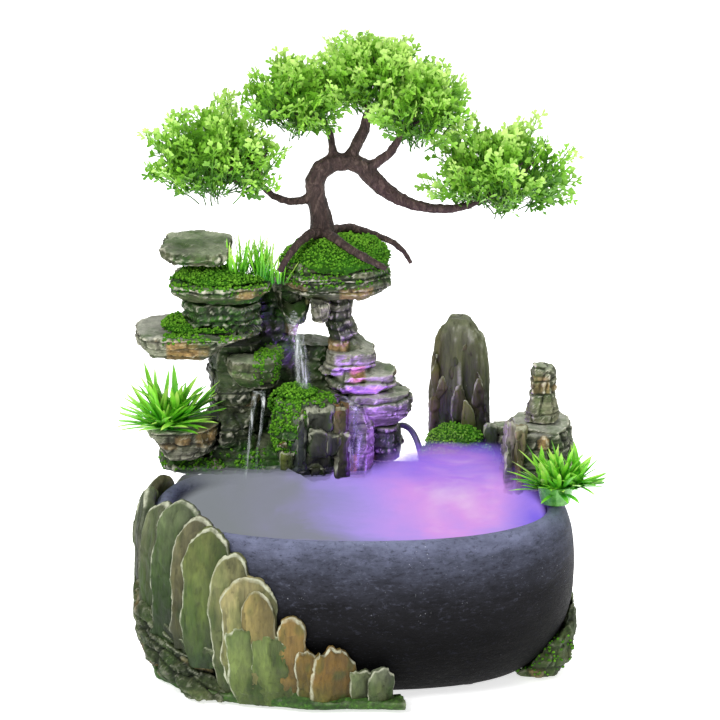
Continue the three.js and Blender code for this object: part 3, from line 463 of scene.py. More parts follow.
BARK = Mat("bark_look", rough=0.7, spec=0.3)
_b = BARK.noise(230, 5, 0.7, vec=BARK.scaled((1.4, 1.4, 0.6)), warp=0.8)
_bc = BARK.ramp(_b, (0.3, lin((26, 18, 17))), (0.52, lin((64, 49, 46))), (0.72, lin((112, 94, 88))))
# concave spots darkened by pointiness: painted shade in the bark's furrows
_bc = BARK.mix(BARK.ramp(BARK.point(), (0.38, 1), (0.49, 0)), _bc, lin((24, 14, 15)))
_bc = BARK.mix(BARK.math("MULTIPLY", BARK.ramp(BARK.noise(30, 2), (0.5, 0), (0.68, 1)), 0.25), _bc, lin((70, 40, 52)))
BARK.set("Base Color", _bc)
BARK.set("Roughness", BARK.ramp(_b, (0.3, 0.55), (0.7, 0.8)))
BARK.set("Normal", BARK.bump(BARK.math("ADD", _b, BARK.math("MULTIPLY", BARK.cells(520, "DISTANCE_TO_EDGE", vec=BARK.scaled((1.3, 1.3, 0.5))), 1.2)), 0.9, 0.0009))

BOWL = Mat("charcoal_resin_look", rough=0.65, spec=0.05)
_v = BOWL.scaled((1.0, 1.0, 2.6))
_s1 = BOWL.noise(46, 6, 0.72, vec=_v, warp=0.2)
_s2 = BOWL.noise(380, 5, 0.75, vec=BOWL.scaled((0.7, 0.7, 1.5)), warp=0.3)
_p = BOWL.cells(560, "F1")
# the bowl's colour runs from near black at the foot to pale blue-grey at the lip: painted light from above and painted
# shade below
_painted_light_by_height = BOWL.math("ADD", BOWL.math("DIVIDE", BOWL.xyz("Z"), 0.1), BOWL.math("MULTIPLY", BOWL.math("SUBTRACT", _s1, 0.5), 0.2))
_bw = BOWL.ramp(_painted_light_by_height, (0.1, lin((3, 3, 3))), (0.4, lin((10, 10, 11))), (0.6, lin((26, 26, 29))), (0.74, lin((45, 46, 54))), (0.86, lin((70, 73, 88))), (0.97, lin((104, 108, 132))))
_bw = BOWL.mix(0.5, _bw, BOWL.ramp(_s1, (0.34, 0.72), (0.64, 1.25)), "MULTIPLY")
# upper band of the bowl, where pale blue-grey streaks are painted highlight
_painted_highlight_band = BOWL.ramp(BOWL.math("DIVIDE", BOWL.xyz("Z"), 0.1), (0.45, 0.15), (0.95, 1.0))
_bw = BOWL.mix(BOWL.math("MULTIPLY", BOWL.ramp(_s2, (0.55, 0), (0.68, 0.34)), _painted_highlight_band), _bw, lin((124, 128, 150)))
_bw = BOWL.mix(BOWL.math("MULTIPLY", BOWL.ramp(_s2, (0.36, 0.5), (0.46, 0)), 1.0), _bw, lin((14, 14, 16)))
# tiny pale flecks kept to the upper band: scratches painted as glints
_scratch_glints = BOWL.math("MULTIPLY", BOWL.ramp(BOWL.noise(1100, 2, 0.5), (0.71, 0), (0.75, 1)), BOWL.math("MULTIPLY", BOWL.ramp(BOWL.noise(60, 3), (0.5, 0), (0.62, 1)), _painted_highlight_band))
_bw = BOWL.mix(_scratch_glints, _bw, lin((225, 228, 238)))
# the pits of the bump darkened: painted shade in the pits
_bw = BOWL.mix(BOWL.ramp(_p, (0.0, 0.5), (0.2, 0)), _bw, lin((20, 20, 22)))
BOWL.set("Base Color", _bw)
BOWL.set("Roughness", BOWL.ramp(_s2, (0.3, 0.42), (0.7, 0.7)))
BOWL.set("Normal", BOWL.bump(BOWL.math("ADD", BOWL.math("MULTIPLY", _s2, 0.7), BOWL.math("ADD", BOWL.math("MULTIPLY", _s1, 0.6), BOWL.math("MULTIPLY", BOWL.ramp(_p, (0, 0), (0.25, 1)), 0.3))), 0.75, 0.0013))


def plain_look(name, dark, light, rough, metallic=0.0, scale=500, bump=0.25, spec=None):
    m = Mat(name, rough=rough, metallic=metallic, spec=spec)
    n = m.noise(scale, 4, 0.6)
    m.set("Base Color", m.ramp(n, (0.3, lin(dark)), (0.7, lin(light))))
    m.set("Roughness", m.ramp(n, (0.2, max(0.05, rough - 0.08)), (0.8, min(1.0, rough + 0.1))))
    m.set("Normal", m.bump(m.noise(scale * 3, 3), bump, 0.0002))
    return m


PUMP = plain_look("pump_plastic_look", (14, 14, 16), (30, 30, 34), 0.42)
RUBBER = plain_look("rubber_look", (18, 18, 19), (40, 40, 42), 0.75, bump=0.5)
CERAMIC = plain_look("ceramic_look", (222, 219, 208), (240, 238, 230), 0.3, scale=300)
VINYL = plain_look("hose_vinyl_look", (176, 190, 184), (206, 216, 210), 0.22, scale=200)
BRASSY = plain_look("brass_look", (160, 128, 66), (204, 174, 104), 0.3, 1.0, scale=900)
LENS = plain_look("lens_look", (200, 170, 250), (235, 215, 255), 0.2, scale=400)
SHEATH = plain_look("lead_sheath_look", (62, 66, 72), (96, 100, 108), 0.5, scale=900, bump=0.4)
CUP = plain_look("planter_cup_look", (60, 130, 50), (110, 180, 80), 0.25, scale=300)

curve.materials.append(SHEATH.m)
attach(lead, "fountain")
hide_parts("lead_run", "lead_coil")

# the plug: barrel with a knurled grip and its strain relief
def turned(name, profile, sides, mats, axis_y, axis_z, flats=0.0):
    """a body turned about X: profile of (x, radius)"""
    v, f = [], []
    for k, (x, r) in enumerate(profile):
        for i in range(sides):
            a = 2 * math.pi * i / sides
            rr = r * (1 - flats * (0.5 + 0.5 * math.cos(12 * a)) * (1 if 78 < x < 91 else 0))
            v.append(W(x, axis_y + rr * math.cos(a), axis_z + rr * math.sin(a)))
    for k in range(len(profile) - 1):
        for i in range(sides):
            f.append((k * sides + i, k * sides + (i + 1) % sides, (k + 1) * sides + (i + 1) % sides, (k + 1) * sides + i))
    f.append(tuple(range(sides))[::-1])
    f.append(tuple((len(profile) - 1) * sides + i for i in range(sides)))
    return obj(name, [tuple(p) for p in v], f, mats)


plug = turned("lead_plug_grip", [(75, 3.0), (75.4, 3.9), (76, 4.25), (80, 4.4), (86, 4.4), (91, 4.3), (92, 4.0), (92.4, 2.8), (92.6, 2.7), (100, 2.7), (100.9, 2.4), (101, 1.2), (99, 1.1), (97, 1.0)], 48, [RUBBER], 105.9, 4.6, 0.05)
sleeve = [(63.5, 2.0), (64, 2.35)]
for k in range(6):
    x = 64.6 + k * 1.8
    r = 2.35 + 0.13 * k
    sleeve += [(x, r), (x + 0.9, r + 0.06), (x + 1.0, r - 0.35), (x + 1.5, r - 0.3)]
sleeve += [(75.6, 3.2)]
relief = turned("lead_plug_strain_relief", sleeve, 24, [RUBBER], 105.9, 4.6)
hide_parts("lead_plug")
for o in (plug, relief):
    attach(o, "fountain")

# ------------------------------------------------------------------ rocks
def layers(coord, thick, seed):
    """uneven beds along a coordinate in mm: which bed, and how far the nearest bed line is"""
    rnd = random.Random(seed)
    cuts, z = [], -60.0
    while z < 330:
        z += thick * rnd.uniform(0.45, 1.6)
        cuts.append(z)
    cuts = np.array(cuts)
    k = np.searchsorted(cuts, coord)
    near = np.minimum(np.abs(coord - cuts[np.clip(k - 1, 0, len(cuts) - 1)]), np.abs(cuts[np.clip(k, 0, len(cuts) - 1)] - coord))
    return k, near


def in_box(q, lo, hi, soft=0.8):
    return np.minimum.reduce([smooth(q[:, k], lo[k] - soft, lo[k] + soft) * (1 - smooth(q[:, k], hi[k] - soft, hi[k] + soft)) for k in range(3)])


def rocky(node, mat=None, voxel=1.05, cell=15.0, bed=5.0, amp=1.15, seed=1, tan=0.05, fine=0.35, body="fountain", slot="rock_resin", name=None, greens=(), tans=(), tilt=0.0, shrink=0.3, split=0.5):
    """the solid's own shape, broken into uneven beds and joints"""
    mat = mat or ROCK
    o = remeshed(name or node + "_look", NODES[node].data, voxel * MM)
    p, n = points_of(o.data)
    q = p / MM - SHIFT
    warp = np.stack([fbm(q / 17 + 5, 3, seed + 40), fbm(q / 17 + 9, 3, seed + 50), fbm(q / [26, 26, 14] + 2, 3, seed + 60)], 1)
    level = q[:, 2] * math.cos(tilt) + q[:, 0] * math.sin(tilt) + warp[:, 2] * 2.2
    bedk, near = layers(level, bed, seed)
    flat = np.stack([(q[:, 0] + warp[:, 0] * 4) / cell, (q[:, 1] + warp[:, 1] * 4) / cell, bedk * 7.31], 1)
    d1, d2, who = worley(flat, seed)
    joint = d2 - d1
    side = 1 - smooth(np.abs(n[:, 2]), 0.5, 0.85)
    bedr = hashed(bedk, bedk * 0 + 3, bedk * 0 + 5, seed + 11)
    notch = (1 - smooth(near, 0.0, 0.95)) * side
    open_ = (1 - smooth(joint, 0.0, 0.09)) * side
    off = ((bedr - 0.5) * 2 * (1 - split) + (who - 0.5) * 2 * split) * amp * (0.2 + 0.8 * side)
    off -= notch * amp * 0.75 + open_ * amp * 0.6
    f1, f2, w2 = worley((q + warp * 1.5) / 5.2, seed + 70)
    off += (w2 - 0.5) * amp * 0.6 * (0.4 + 0.6 * side)
    f3, f4, w3 = worley((q + warp * 2) / [10, 10, 7], seed + 75)
    off += (w3 - 0.5) * amp * 0.8 + fbm(q / 12, 3, seed + 77) * amp * 1.1
    off += fbm(q / 3.0, 3, seed + 30) * fine - amp * shrink
    p += n * off[:, None] * MM
    p[:, 2] = np.maximum(p[:, 2], 0.0023)
    set_points(o, p)
    face = smooth(-n[:, 1], -0.3, 0.35)
    tanm = np.where(who > 1 - tan, 0.8, 0.0) * side * face
    for lo, hi, power in tans:
        tanm = np.maximum(tanm, in_box(q, lo, hi) * power * smooth(-n[:, 1] + n[:, 2] * 0.3, -0.1, 0.4))
    put_attr(o, "tan", np.clip(tanm, 0, 1) * (1 - notch * 0.6))
    # recessed bed lines and joints, kept as the mask for painted shade in the cracks
    put_attr(o, "crack_painted_shade", np.clip(notch * 0.75 + open_ * 0.8, 0, 1))
    grn = np.zeros(len(p))
    for lo, hi, power in greens:
        grn = np.maximum(grn, in_box(q, lo, hi, 3) * power * smooth(fbm(q / 9, 3, seed + 80), -0.35, 0.25))
    put_attr(o, "grn", grn)
    o.data.materials.append(mat.m)
    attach(o, body)
    if node not in taken:
        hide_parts(node)
        taken.add(node)
    return o


taken = set()
rocks = {}
for i, (node, kw) in enumerate([
    ("rockery_core", dict(mat=DARKROCK, voxel=1.2, cell=17, bed=8, amp=2.0, greens=[((-120, 20, 92), (-50, 60, 116), 0.9), ((-60, 30, 92), (-14, 80, 124), 0.8), ((-120, 0, 183), (-36, 70, 203), 1.0), ((-60, 40, 140), (-30, 90, 170), 0.4)])),
    ("ledge_lower_left", dict(mat=GREYROCK, amp=1.5, cell=17, bed=5, tans=[((-90, 10, 119), (-77.5, 40, 129), 1.0), ((-112, 10, 117), (-101, 40, 121), 0.4)])),
    ("mid_rock", dict(cell=19, bed=7, amp=0.9, greens=[((-80, 20, 150), (-45, 70, 175), 0.55)])),
    ("ledge_mid_left", dict(mat=GREYROCK, amp=1.5, cell=13, bed=7, tans=[((-106, 10, 168), (-88, 45, 182), 1.0), ((-88, 10, 171), (-82.5, 45, 178), 0.7)], greens=[((-100, 20, 178), (-50, 60, 192), 0.75)])),
    ("ledge_upper_left", dict(amp=1.4, cell=20, bed=4.5, tans=[((-67, 10, 203), (-46, 42, 211), 1.0)], greens=[((-112, 10, 206), (-45, 60, 216), 0.95), ((-120, 0, 180), (-36, 70, 204), 0.95)])),
    ("cap_rock_left", dict(mat=ROCK, amp=1.7, cell=17, bed=5.5, greens=[((-112, 0, 214), (-70, 36, 228), 0.95)])),
    ("spout_upper", dict(mat=DARKROCK, voxel=0.9, cell=10, bed=9, amp=0.7)),
    ("tree_rock", dict(amp=1.5, cell=18, bed=4.6, tans=[((-9.5, 20, 197), (9.6, 60, 208), 1.0), ((-42, 20, 205), (-28, 50, 212), 0.5)], greens=[((-45, 20, 209), (25, 80, 232), 0.75)])),
    ("hanging_stones", dict(mat=GREYROCK, voxel=0.85, cell=9, bed=8, amp=1.0, split=0.6)),
    ("column_right", dict(mat=GREYROCK, cell=20, bed=4.4, amp=1.6, tans=[((-4, 20, 152), (4.6, 60, 161), 1.0)])),
    ("ledge_right_lower", dict(mat=GREYROCK, cell=24, bed=6.0, amp=1.5)),
    ("pillar_right", dict(mat=DARKROCK, voxel=0.95, cell=11, bed=6, amp=0.8)),
    ("plunge_pool", dict(mat=DARKROCK, voxel=1.05, cell=12, bed=6, amp=0.8)),
    ("chute_lower_right", dict(mat=GREYROCK, voxel=1.0, cell=9, bed=14, amp=0.9)),
    ("front_boulder", dict(mat=DARKROCK, voxel=1.0, cell=11, bed=11, amp=1.0, shrink=1.8, greens=[((-50, 10, 118), (-25, 40, 152), 0.8)])),
    ("moss_rock_right", dict(mat=DARKROCK, greens=[((30, 0, 90), (85, 80, 125), 0.9)], voxel=0.95, cell=12, bed=5, amp=0.8)),
    ("rock_wall_right", dict(mat=GREYROCK, cell=15, bed=10, amp=1.7, greens=[((90, -30, 98), (125, 60, 118), 0.5)], tans=[((100, -10, 97), (121, 40, 112), 0.5)])),
    ("peak_small_right", dict(mat=ROCK, voxel=0.85, cell=13, bed=9, amp=1.9, split=0.7, tans=[((97, -20, 151), (108, 60, 160.4), 0.75)])),
    ("right_base_rock", dict(mat=SLATE, voxel=1.2, cell=13, bed=8, amp=1.3, slot="slate_resin")),
    ("foot_rocks_left", dict(mat=SLATE, voxel=1.05, cell=30, bed=6.0, amp=2.9, slot="slate_resin", tilt=0.5, split=0.15, fine=0.5, tans=[((-132, -60, 44), (-119, 0, 52), 0.9), ((-118, -80, 8), (-106, 0, 15), 0.6)])),
]):
    rocks[node] = rocky(node, seed=100 + i * 7, **kw)


TINT = 0.72
SLATE_NOW = [-1]


def flake(name, centre, t, o_, foot, top, width, thick, cols, seed, crown=None, peak=0.0, power=2.3, jag=0.0, twist=0.0, lean=0.0, voxel=0.85, rough=0.5, pale_edge_and_highlight=1.0, reach=None, replaces=None, shade=0.3):
    """One standing flake of stone. centre(z) gives its outer face in plan, t runs to its right and o_ points out of it."""
    rnd = random.Random(seed)
    t, o_ = np.array(t, float), np.array(o_, float)
    tt = t * math.cos(twist) - o_ * math.sin(twist)
    oo = o_ * math.cos(twist) + t * math.sin(twist)
    crown = width * 0.75 if crown is None else crown
    crown = min(crown, (top - foot) * 0.8)
    cols_n = 26
    rows = max(6, int((top - foot) / 2.2))
    wob = [rnd.uniform(-1, 1) for _ in range(14)]
    V = []
    for h in np.linspace(0, 1, rows):
        front, back = [], []
        for k in range(cols_n):
            s_ = k / (cols_n - 1) * 2 - 1
            e = (s_ - peak) / (1 + peak if s_ < peak else 1 - peak)
            zt = top - crown * (1 - max(0.0, 1 - abs(e) ** power) ** (1 / power))
            zt -= jag * abs(np.interp((s_ + 1) * 6, range(14), wob))
            z = foot + (zt - foot) * h
            w = width / 2 * (1 + 0.05 * math.sin(z * 0.16 + seed) + 0.03 * math.sin(z * 0.41 + 2 * seed))
            rim = max(0.0, abs(s_) - 0.8) / 0.2
            tip = max(0.0, 1 - (zt - z) / 3.0) if zt - z < 3 else 0.0
            cx, cy = centre(z)
            base = np.array([cx, cy]) + tt * (s_ * w + lean * (z - foot))
            dip = 0.34 * thick * max(rim ** 2.5, tip ** 2)
            front.append((*(base + oo * (0.7 * (1 - s_ * s_) - dip)), z))
            back.append((*(base - oo * (thick - dip)), z))
        V += front + back[::-1]
    m = cols_n * 2
    k_, j_ = np.meshgrid(np.arange(rows - 1), np.arange(m), indexing="ij")
    jn_ = (j_ + 1) % m
    F = [tuple(r) for r in np.stack([k_ * m + j_, k_ * m + jn_, (k_ + 1) * m + jn_, (k_ + 1) * m + j_], -1).reshape(-1, 4)]
    for base_, flip in ((0, True), ((rows - 1) * m, False)):
        for k in range(cols_n - 1):
            f = (base_ + k, base_ + k + 1, base_ + m - 2 - k, base_ + m - 1 - k)
            F.append(f[::-1] if flip else f)
    o = remeshed(name, ((np.array(V) + SHIFT) * MM, F), voxel * MM)
    p, n = points_of(o.data)
    q = p / MM - SHIFT
    along, outw = q[:, :2] @ tt, q[:, :2] @ oo
    warp = np.stack([fbm(q / 16 + 3, 3, seed), fbm(q / 16 + 8, 3, seed + 1), fbm(q / 22, 3, seed + 2)], 1)
    d1, d2, who = worley(np.stack([along / 8.5, outw / 9, q[:, 2] / 27], 1) + warp * 0.4, seed + 3)
    step = smooth(fbm(q / [11, 11, 24], 3, seed + 12), 0.0, 0.1) * 1.4 + smooth(fbm(q / [8, 8, 15], 3, seed + 15), 0.12, 0.2) * 0.9
    disp = (step - 1.0) * rough + (who - 0.5) * 1.3 * rough - (1 - smooth(d2 - d1, 0, 0.1)) * 0.35 * rough + fbm(q / 2.8, 3, seed + 4) * 0.35 * rough + fbm(q / 10, 3, seed + 5) * rough - 0.35
    facing = n[:, :2] @ oo
    p += n * (disp * MM)[:, None]
    if reach is not None:
        p[:, 1] = np.maximum(p[:, 1], reach * MM)
    p[:, 2] = np.maximum(p[:, 2], 2.35 * MM)
    set_points(o, p)
    mid = np.array([centre(zz) for zz in (foot, top)]).mean(0)
    u = (along - mid @ tt) / (width / 2)
    hgt = np.clip((q[:, 2] - foot) / max(1, top - foot) + fbm(q / 12, 3, seed + 6) * 0.22, 0, 1)
    tri = np.array([lin(c)[:3] for c in cols])
    rgb = np.stack([np.interp(hgt, [0.05, 0.5, 0.92], [tri[2][k], tri[1][k], tri[0][k]]) for k in range(3)], 1)
    # painted shadow: each flake darker towards its right side, where the next flake overlaps it; raised steps lighter
    # and sunken steps darker, painted shade
    rgb *= (1 - shade * smooth(u, -0.75, 0.6))[:, None] * (1 + 0.34 * (who - 0.5))[:, None] * (0.86 + 0.2 * np.clip(step, 0, 1.5) / 1.5)[:, None]
    rgb = rgb * (np.array([0.86, 0.9, 0.72]) if top > 100 and foot > 5 else (np.array([1.12, 0.97, 0.6]) if 12 < SLATE_NOW[0] < 16 else np.array([1.0, 1.02, 0.74])))
    stain = smooth(fbm(q / [7, 7, 18], 3, seed + 8), 0.0, 0.3)[:, None] * (1 - 0.6 * hgt[:, None]) * 0.8
    rgb = rgb * (1 - stain) + np.array(lin((58, 84, 30))[:3]) * stain
    put_tint(o, "tint", np.clip(rgb * TINT, 0, 1))
    # pale rim where the surface turns from the face, weaker on the right side in the next flake's shade: pale edge and
    # painted highlight
    put_attr(o, "pale_edge_and_highlight", smooth(facing, 0.0, 0.4) * (1 - smooth(facing, 0.5, 0.76)) * pale_edge_and_highlight * 0.8 * smooth(hgt, 0.02, 0.35) * (1 - 0.75 * smooth(u, 0.2, 0.8) * (1 - smooth(n[:, 2], 0.2, 0.5))))
    o.data.materials.append(FLAKE.m)
    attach(o, "fountain")
    if replaces:
        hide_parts(replaces)
    return o


# ------------------------------------------------------------------ standing slates round the basin
SLATES = [
    (-92, 1, 97, 24, 0, 2.3), (-109.5, 1, 101, 24, 1.0, 20), (-117, 1, 100, 20, 0.2, 34), (-119.5, -1, 104, 15, 0.4, 38), (-108.6, -1, 108.7, 20.2, 0, 36),
    (-93.9, -1, 114, 28, 0.8, 32), (-81.5, -1, 107.7, 26, 0.3, 30), (-73, -1, 104.3, 26, 2.2, 22), (-59.5, -1, 92, 22.7, 1.0, 2.3),
    (-49.5, -1, 80.5, 25.5, 1.6, 2.3), (-44.3, -1, 73.6, 16.8, 3.2, 2.3), (-50.1, -1, 52.9, 18.2, 4.4, 2.3), (-38.6, -1, 49.3, 16.7, 3.2, 2.3),
    (-27.9, -1, 58.9, 13.1, 1.4, 2.3), (-18.3, -1, 39.6, 15.2, 1.8, 2.3), (-7.6, -1, 42.5, 21.1, 1.39, 2.3), (2.4, -1, 27.8, 10.9, 1.0, 2.3), (9.9, -1, 29.4, 13, 1.8, 2.3),
]
SLATE_OUT = np.array([[2.3, 110, 72], [12, 118, 76.5], [30, 123.5, 81.5], [50, 125, 84], [80, 124.5, 83.5], [100, 120, 79], [112, 116, 75]])
SLATE_LOOK = [   # colours of the outer face at its top, middle and foot; crown height, peak, jag
    ((138, 148, 118), (88, 99, 72), (60, 70, 45), None, 0, 0), ((142, 134, 104), (108, 108, 80), (60, 70, 45), 16, 0.1, 0),
    ((138, 148, 118), (88, 99, 72), (50, 60, 40), None, 0, 0), ((138, 148, 118), (92, 99, 70), (50, 60, 40), None, 0, 0), ((140, 146, 116), (96, 106, 70), (58, 66, 36), 14, 0.2, 0),
    ((134, 148, 112), (64, 94, 32), (38, 58, 24), 20, -0.1, 0), ((144, 138, 108), (104, 100, 70), (60, 66, 40), 18, -0.2, 0), ((126, 134, 78), (98, 115, 58), (49, 70, 35), 22, -0.15, 1.5), ((155, 153, 116), (104, 112, 76), (78, 89, 60), 20, 0.0, 0),
    ((173, 162, 126), (138, 138, 98), (104, 116, 74), 20, -0.1, 1.0), ((168, 150, 104), (162, 146, 100), (120, 124, 82), 16, -0.1, 0), ((122, 138, 90), (116, 132, 80), (84, 102, 54), 7, 0.1, 4), ((128, 146, 92), (114, 131, 75), (84, 102, 54), 6, -0.2, 4),
    ((166, 144, 96), (140, 120, 76), (66, 78, 44), 9, 0.0, 1), ((124, 106, 60), (106, 94, 44), (80, 92, 44), 11, -0.6, 4), ((146, 121, 70), (130, 107, 55), (84, 98, 50), 16, -0.05, 4), ((118, 128, 102), (85, 96, 64), (62, 72, 39), 2, 0.2, 3), ((138, 145, 136), (92, 104, 69), (80, 92, 54), 9, 0.25, 3),
]
BOWL_X = 1.5


def slate(i):
    x, side, top, width, off, foot = SLATES[i]
    f = side * math.acos(max(-1, min(1, (x - BOWL_X) / 120)))
    a0, b0 = superpoint(f - 0.05, 120, 80)
    a1, b1 = superpoint(f + 0.05, 120, 80)
    t = np.array([a1 - a0, b1 - b0])
    t /= np.linalg.norm(t)
    out = np.array([-t[1], t[0]])
    if out @ [math.cos(f), math.sin(f)] < 0:
        out = -out
    t = np.array([-out[1], out[0]])            # to the right, seen from outside
    def centre(z):
        a, b = np.interp(z, SLATE_OUT[:, 0], SLATE_OUT[:, 1]) + off, np.interp(z, SLATE_OUT[:, 0], SLATE_OUT[:, 2]) + off
        cx, cy = superpoint(f, a, b)
        return cx + BOWL_X, cy
    top_c, mid_c, low_c, crown, peak, jag = SLATE_LOOK[i]
    SLATE_NOW[0] = i
    return flake("slate_%02d" % (i + 1), centre, t, out, foot, top, width * (1.08 if i < 9 else 1.28), 6.8 if foot > 5 else 7.6, (top_c, mid_c, low_c), 300 + i * 11, crown=crown, peak=peak, jag=jag * 0.8 + 0.7,
                 twist=math.radians(13 if width > 18 else 7) * (1 if side < 0 else -1), reach=-87.3, rough=0.5, replaces="slate_screen" if i == 8 else None, power=1.75, shade=0.62 if i < 9 else 0.4)


slates = [slate(i) for i in range(len(SLATES))]
SLATE_NOW[0] = -1

# the plinth under them
nf = 90
fs = np.linspace(-1.40, -4.12, nf)
V, F = [], []
for j, f in enumerate(fs):
    for (k, z) in ((0.6, 2.4), (2.0, 7.2), (-1.4, 10.5 + 2.6 * math.sin(f * 9) + 1.2 * math.sin(f * 23))):
        a, b = superpoint(f, 116.5 + k + 1.2 * math.sin(f * 13) + 0.8 * math.sin(f * 31), 77.0 + k + 0.9 * math.sin(f * 17))
        V.append((a + BOWL_X, b, z + (0.8 * math.sin(f * 23) if z > 8 else 0)))
    for (r, z) in ((0.90, 9.0), (0.84, 2.4)):
        a, b = superpoint(f, 116.5 * r, 77.0 * r)
        V.append((a + BOWL_X, b, z))
for j in range(nf - 1):
    for k in range(5):
        F.append((j * 5 + k, j * 5 + (k + 1) % 5, (j + 1) * 5 + (k + 1) % 5, (j + 1) * 5 + k))
F += [(4, 3, 2, 1, 0), tuple((nf - 1) * 5 + k for k in range(5))]
plinth = remeshed("slate_plinth", ((np.array(V) + SHIFT) * MM, F), 1.1 * MM)
p, n = points_of(plinth.data)
p += n * (fbm(p / MM / 4, 4, 700) * 0.6 * MM)[:, None]
p[:, 2] = np.maximum(p[:, 2], 2.3 * MM)
p[:, 1] = np.maximum(p[:, 1], -87.25 * MM)
set_points(plinth, p)
for k, v in (("tan", 0.0), ("crack_painted_shade", 0.0), ("grn", 0.6)):
    put_attr(plinth, k, np.full(len(p), v))
plinth.data.materials.append(SLATE.m)
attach(plinth, "fountain")

# the fan of thin beds stacked at the left foot of the screen
def bed_plate(name, f, z, out_, length, depth, thick, tilt, cols, seed, roll=0.0):
    rnd = random.Random(seed)
    a, b = np.interp(z, SLATE_OUT[:, 0], SLATE_OUT[:, 1]) + out_, np.interp(z, SLATE_OUT[:, 0], SLATE_OUT[:, 2]) + out_
    x, y = superpoint(f, a, b)
    x1, y1 = superpoint(f + 0.04, a, b)
    t = np.array([x1 - x, y1 - y, 0.0])
    t /= np.linalg.norm(t)
    o_ = np.array([t[1], -t[0], 0.0])
    u = t * math.cos(tilt) - np.array([0, 0, 1.0]) * math.sin(tilt)
    w = np.cross(u, o_)
    w = w if w[2] > 0 else -w
    C = np.array([x + BOWL_X, y, z])
    n_, V, F = 16, [], []
    wob = [rnd.uniform(-1, 1) for _ in range(n_ + 1)]
    for k in range(n_):
        s_ = k / (n_ - 1) * 2 - 1
        d_ = depth / 2 * (1 - 0.55 * abs(s_) ** 3) + 0.8 * wob[k]
        h_ = thick / 2 * (1 - 0.5 * abs(s_) ** 4)
        for (p_, q_) in ((1, 0.55), (0.86, 1), (-1, 1), (-1, -1), (0.8, -1)):
            V.append(C + u * s_ * length / 2 + o_ * (p_ * d_) + w * (q_ * h_ + 0.5 * math.sin(s_ * 5 + seed)))
    for k in range(n_ - 1):
        for j in range(5):
            F.append((k * 5 + j, (k + 1) * 5 + j, (k + 1) * 5 + (j + 1) % 5, k * 5 + (j + 1) % 5))
    F += [(0, 1, 2, 3, 4), tuple((n_ - 1) * 5 + j for j in (4, 3, 2, 1, 0))]
    bm = bmesh.new()
    vs = [bm.verts.new(tuple((v + SHIFT) * MM)) for v in V]
    for f_ in F:
        bm.faces.new([vs[i] for i in f_])
    bmesh.ops.recalc_face_normals(bm, faces=bm.faces[:])
    me_ = bpy.data.meshes.new(name + "_cage")
    bm.to_mesh(me_)
    bm.free()
    o = remeshed(name, me_, 0.8 * MM)
    p, n = points_of(o.data)
    q = p / MM - SHIFT
    d1, d2, who = worley(q / [9, 9, 3], seed + 3)
    along_w = n @ w
    outward = n @ o_
    p += n * (((who - 0.5) * 0.5 + fbm(q / 3, 3, seed + 4) * 0.3 + fbm(q / 9, 3, seed + 5) * 1.0) * MM)[:, None]
    p[:, 1] = np.maximum(p[:, 1], -87.2 * MM)
    p[:, 0] = np.maximum(p[:, 0], (-126.5 + 0.1 * fbm(q / 5, 2, seed)) * MM)
    p[:, 2] = np.maximum(p[:, 2], 2.35 * MM)
    set_points(o, p)
    tri = np.array([lin(c)[:3] for c in cols])
    # upward faces of each plate lighter and downward faces darker: painted light and shade
    hgt = np.clip(0.45 + fbm(q / 8, 3, seed + 6) + 0.55 * along_w, 0, 1)
    put_tint(o, "tint", np.stack([np.interp(hgt, [0.1, 0.5, 0.9], [tri[2][k], tri[1][k], tri[0][k]]) for k in range(3)], 1) * TINT)
    # pale rim along the plate edges: pale edge and painted highlight
    put_attr(o, "pale_edge_and_highlight", smooth(along_w, 0.2, 0.45) * (1 - smooth(along_w, 0.6, 0.85)) * smooth(outward, 0.3, 0.6) * 0.4)
    o.data.materials.append(FLAKE.m)
    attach(o, "fountain")
    return o


DG = ((84, 98, 56), (54, 68, 34), (30, 42, 18))
BR = ((120, 100, 46), (84, 74, 30), (52, 50, 20))
PLATES = []
for r_ in range(4):
    for j_ in range(6 - r_):
        PLATES.append((math.pi + 0.02 + 0.165 * j_ + 0.085 * r_, 47 - 8.8 * r_ - 2.6 * j_, -3.4 + 0.5 * r_, 30 - r_, 13, 5.4, 0.46, BR if (r_ * 7 + j_ * 3) % 8 == 5 else DG))
for k, (f_, z_, o_, l_, d_, th_, ti_, cols_) in enumerate(PLATES):
    bed_plate("foot_bed_%02d" % (k + 1), f_, max(z_, 6), o_ + 0.6 * math.sin(k * 2.3), l_ + 3 * math.sin(k * 1.7), d_, th_ + 0.8 * math.sin(k * 3.1), ti_ + 0.12 * math.sin(k * 4.7), cols_, 3000 + k * 7)

# ------------------------------------------------------------------ stones set on the rockery: (name, x0, x1, z0, z1, y front, thickness, colours, crown, peak, jag)
def stone(name, x0, x1, z0, z1, y, thick, cols, seed, crown=1.2, peak=0.0, jag=0.6, power=4.0, lean=0.0, pale_edge_and_highlight=0.8, rough=0.5, shade=0.2, replaces=None, voxel=0.7, twist=0.0):
    cx = (x0 + x1) / 2
    return flake(name, lambda z: (cx, y), (1, 0), (0, -1), z0, z1, x1 - x0, thick, cols, seed, crown=crown, peak=peak, power=power, jag=jag, lean=lean, voxel=voxel, rough=rough, pale_edge_and_highlight=pale_edge_and_highlight, shade=shade, replaces=replaces, twist=twist)


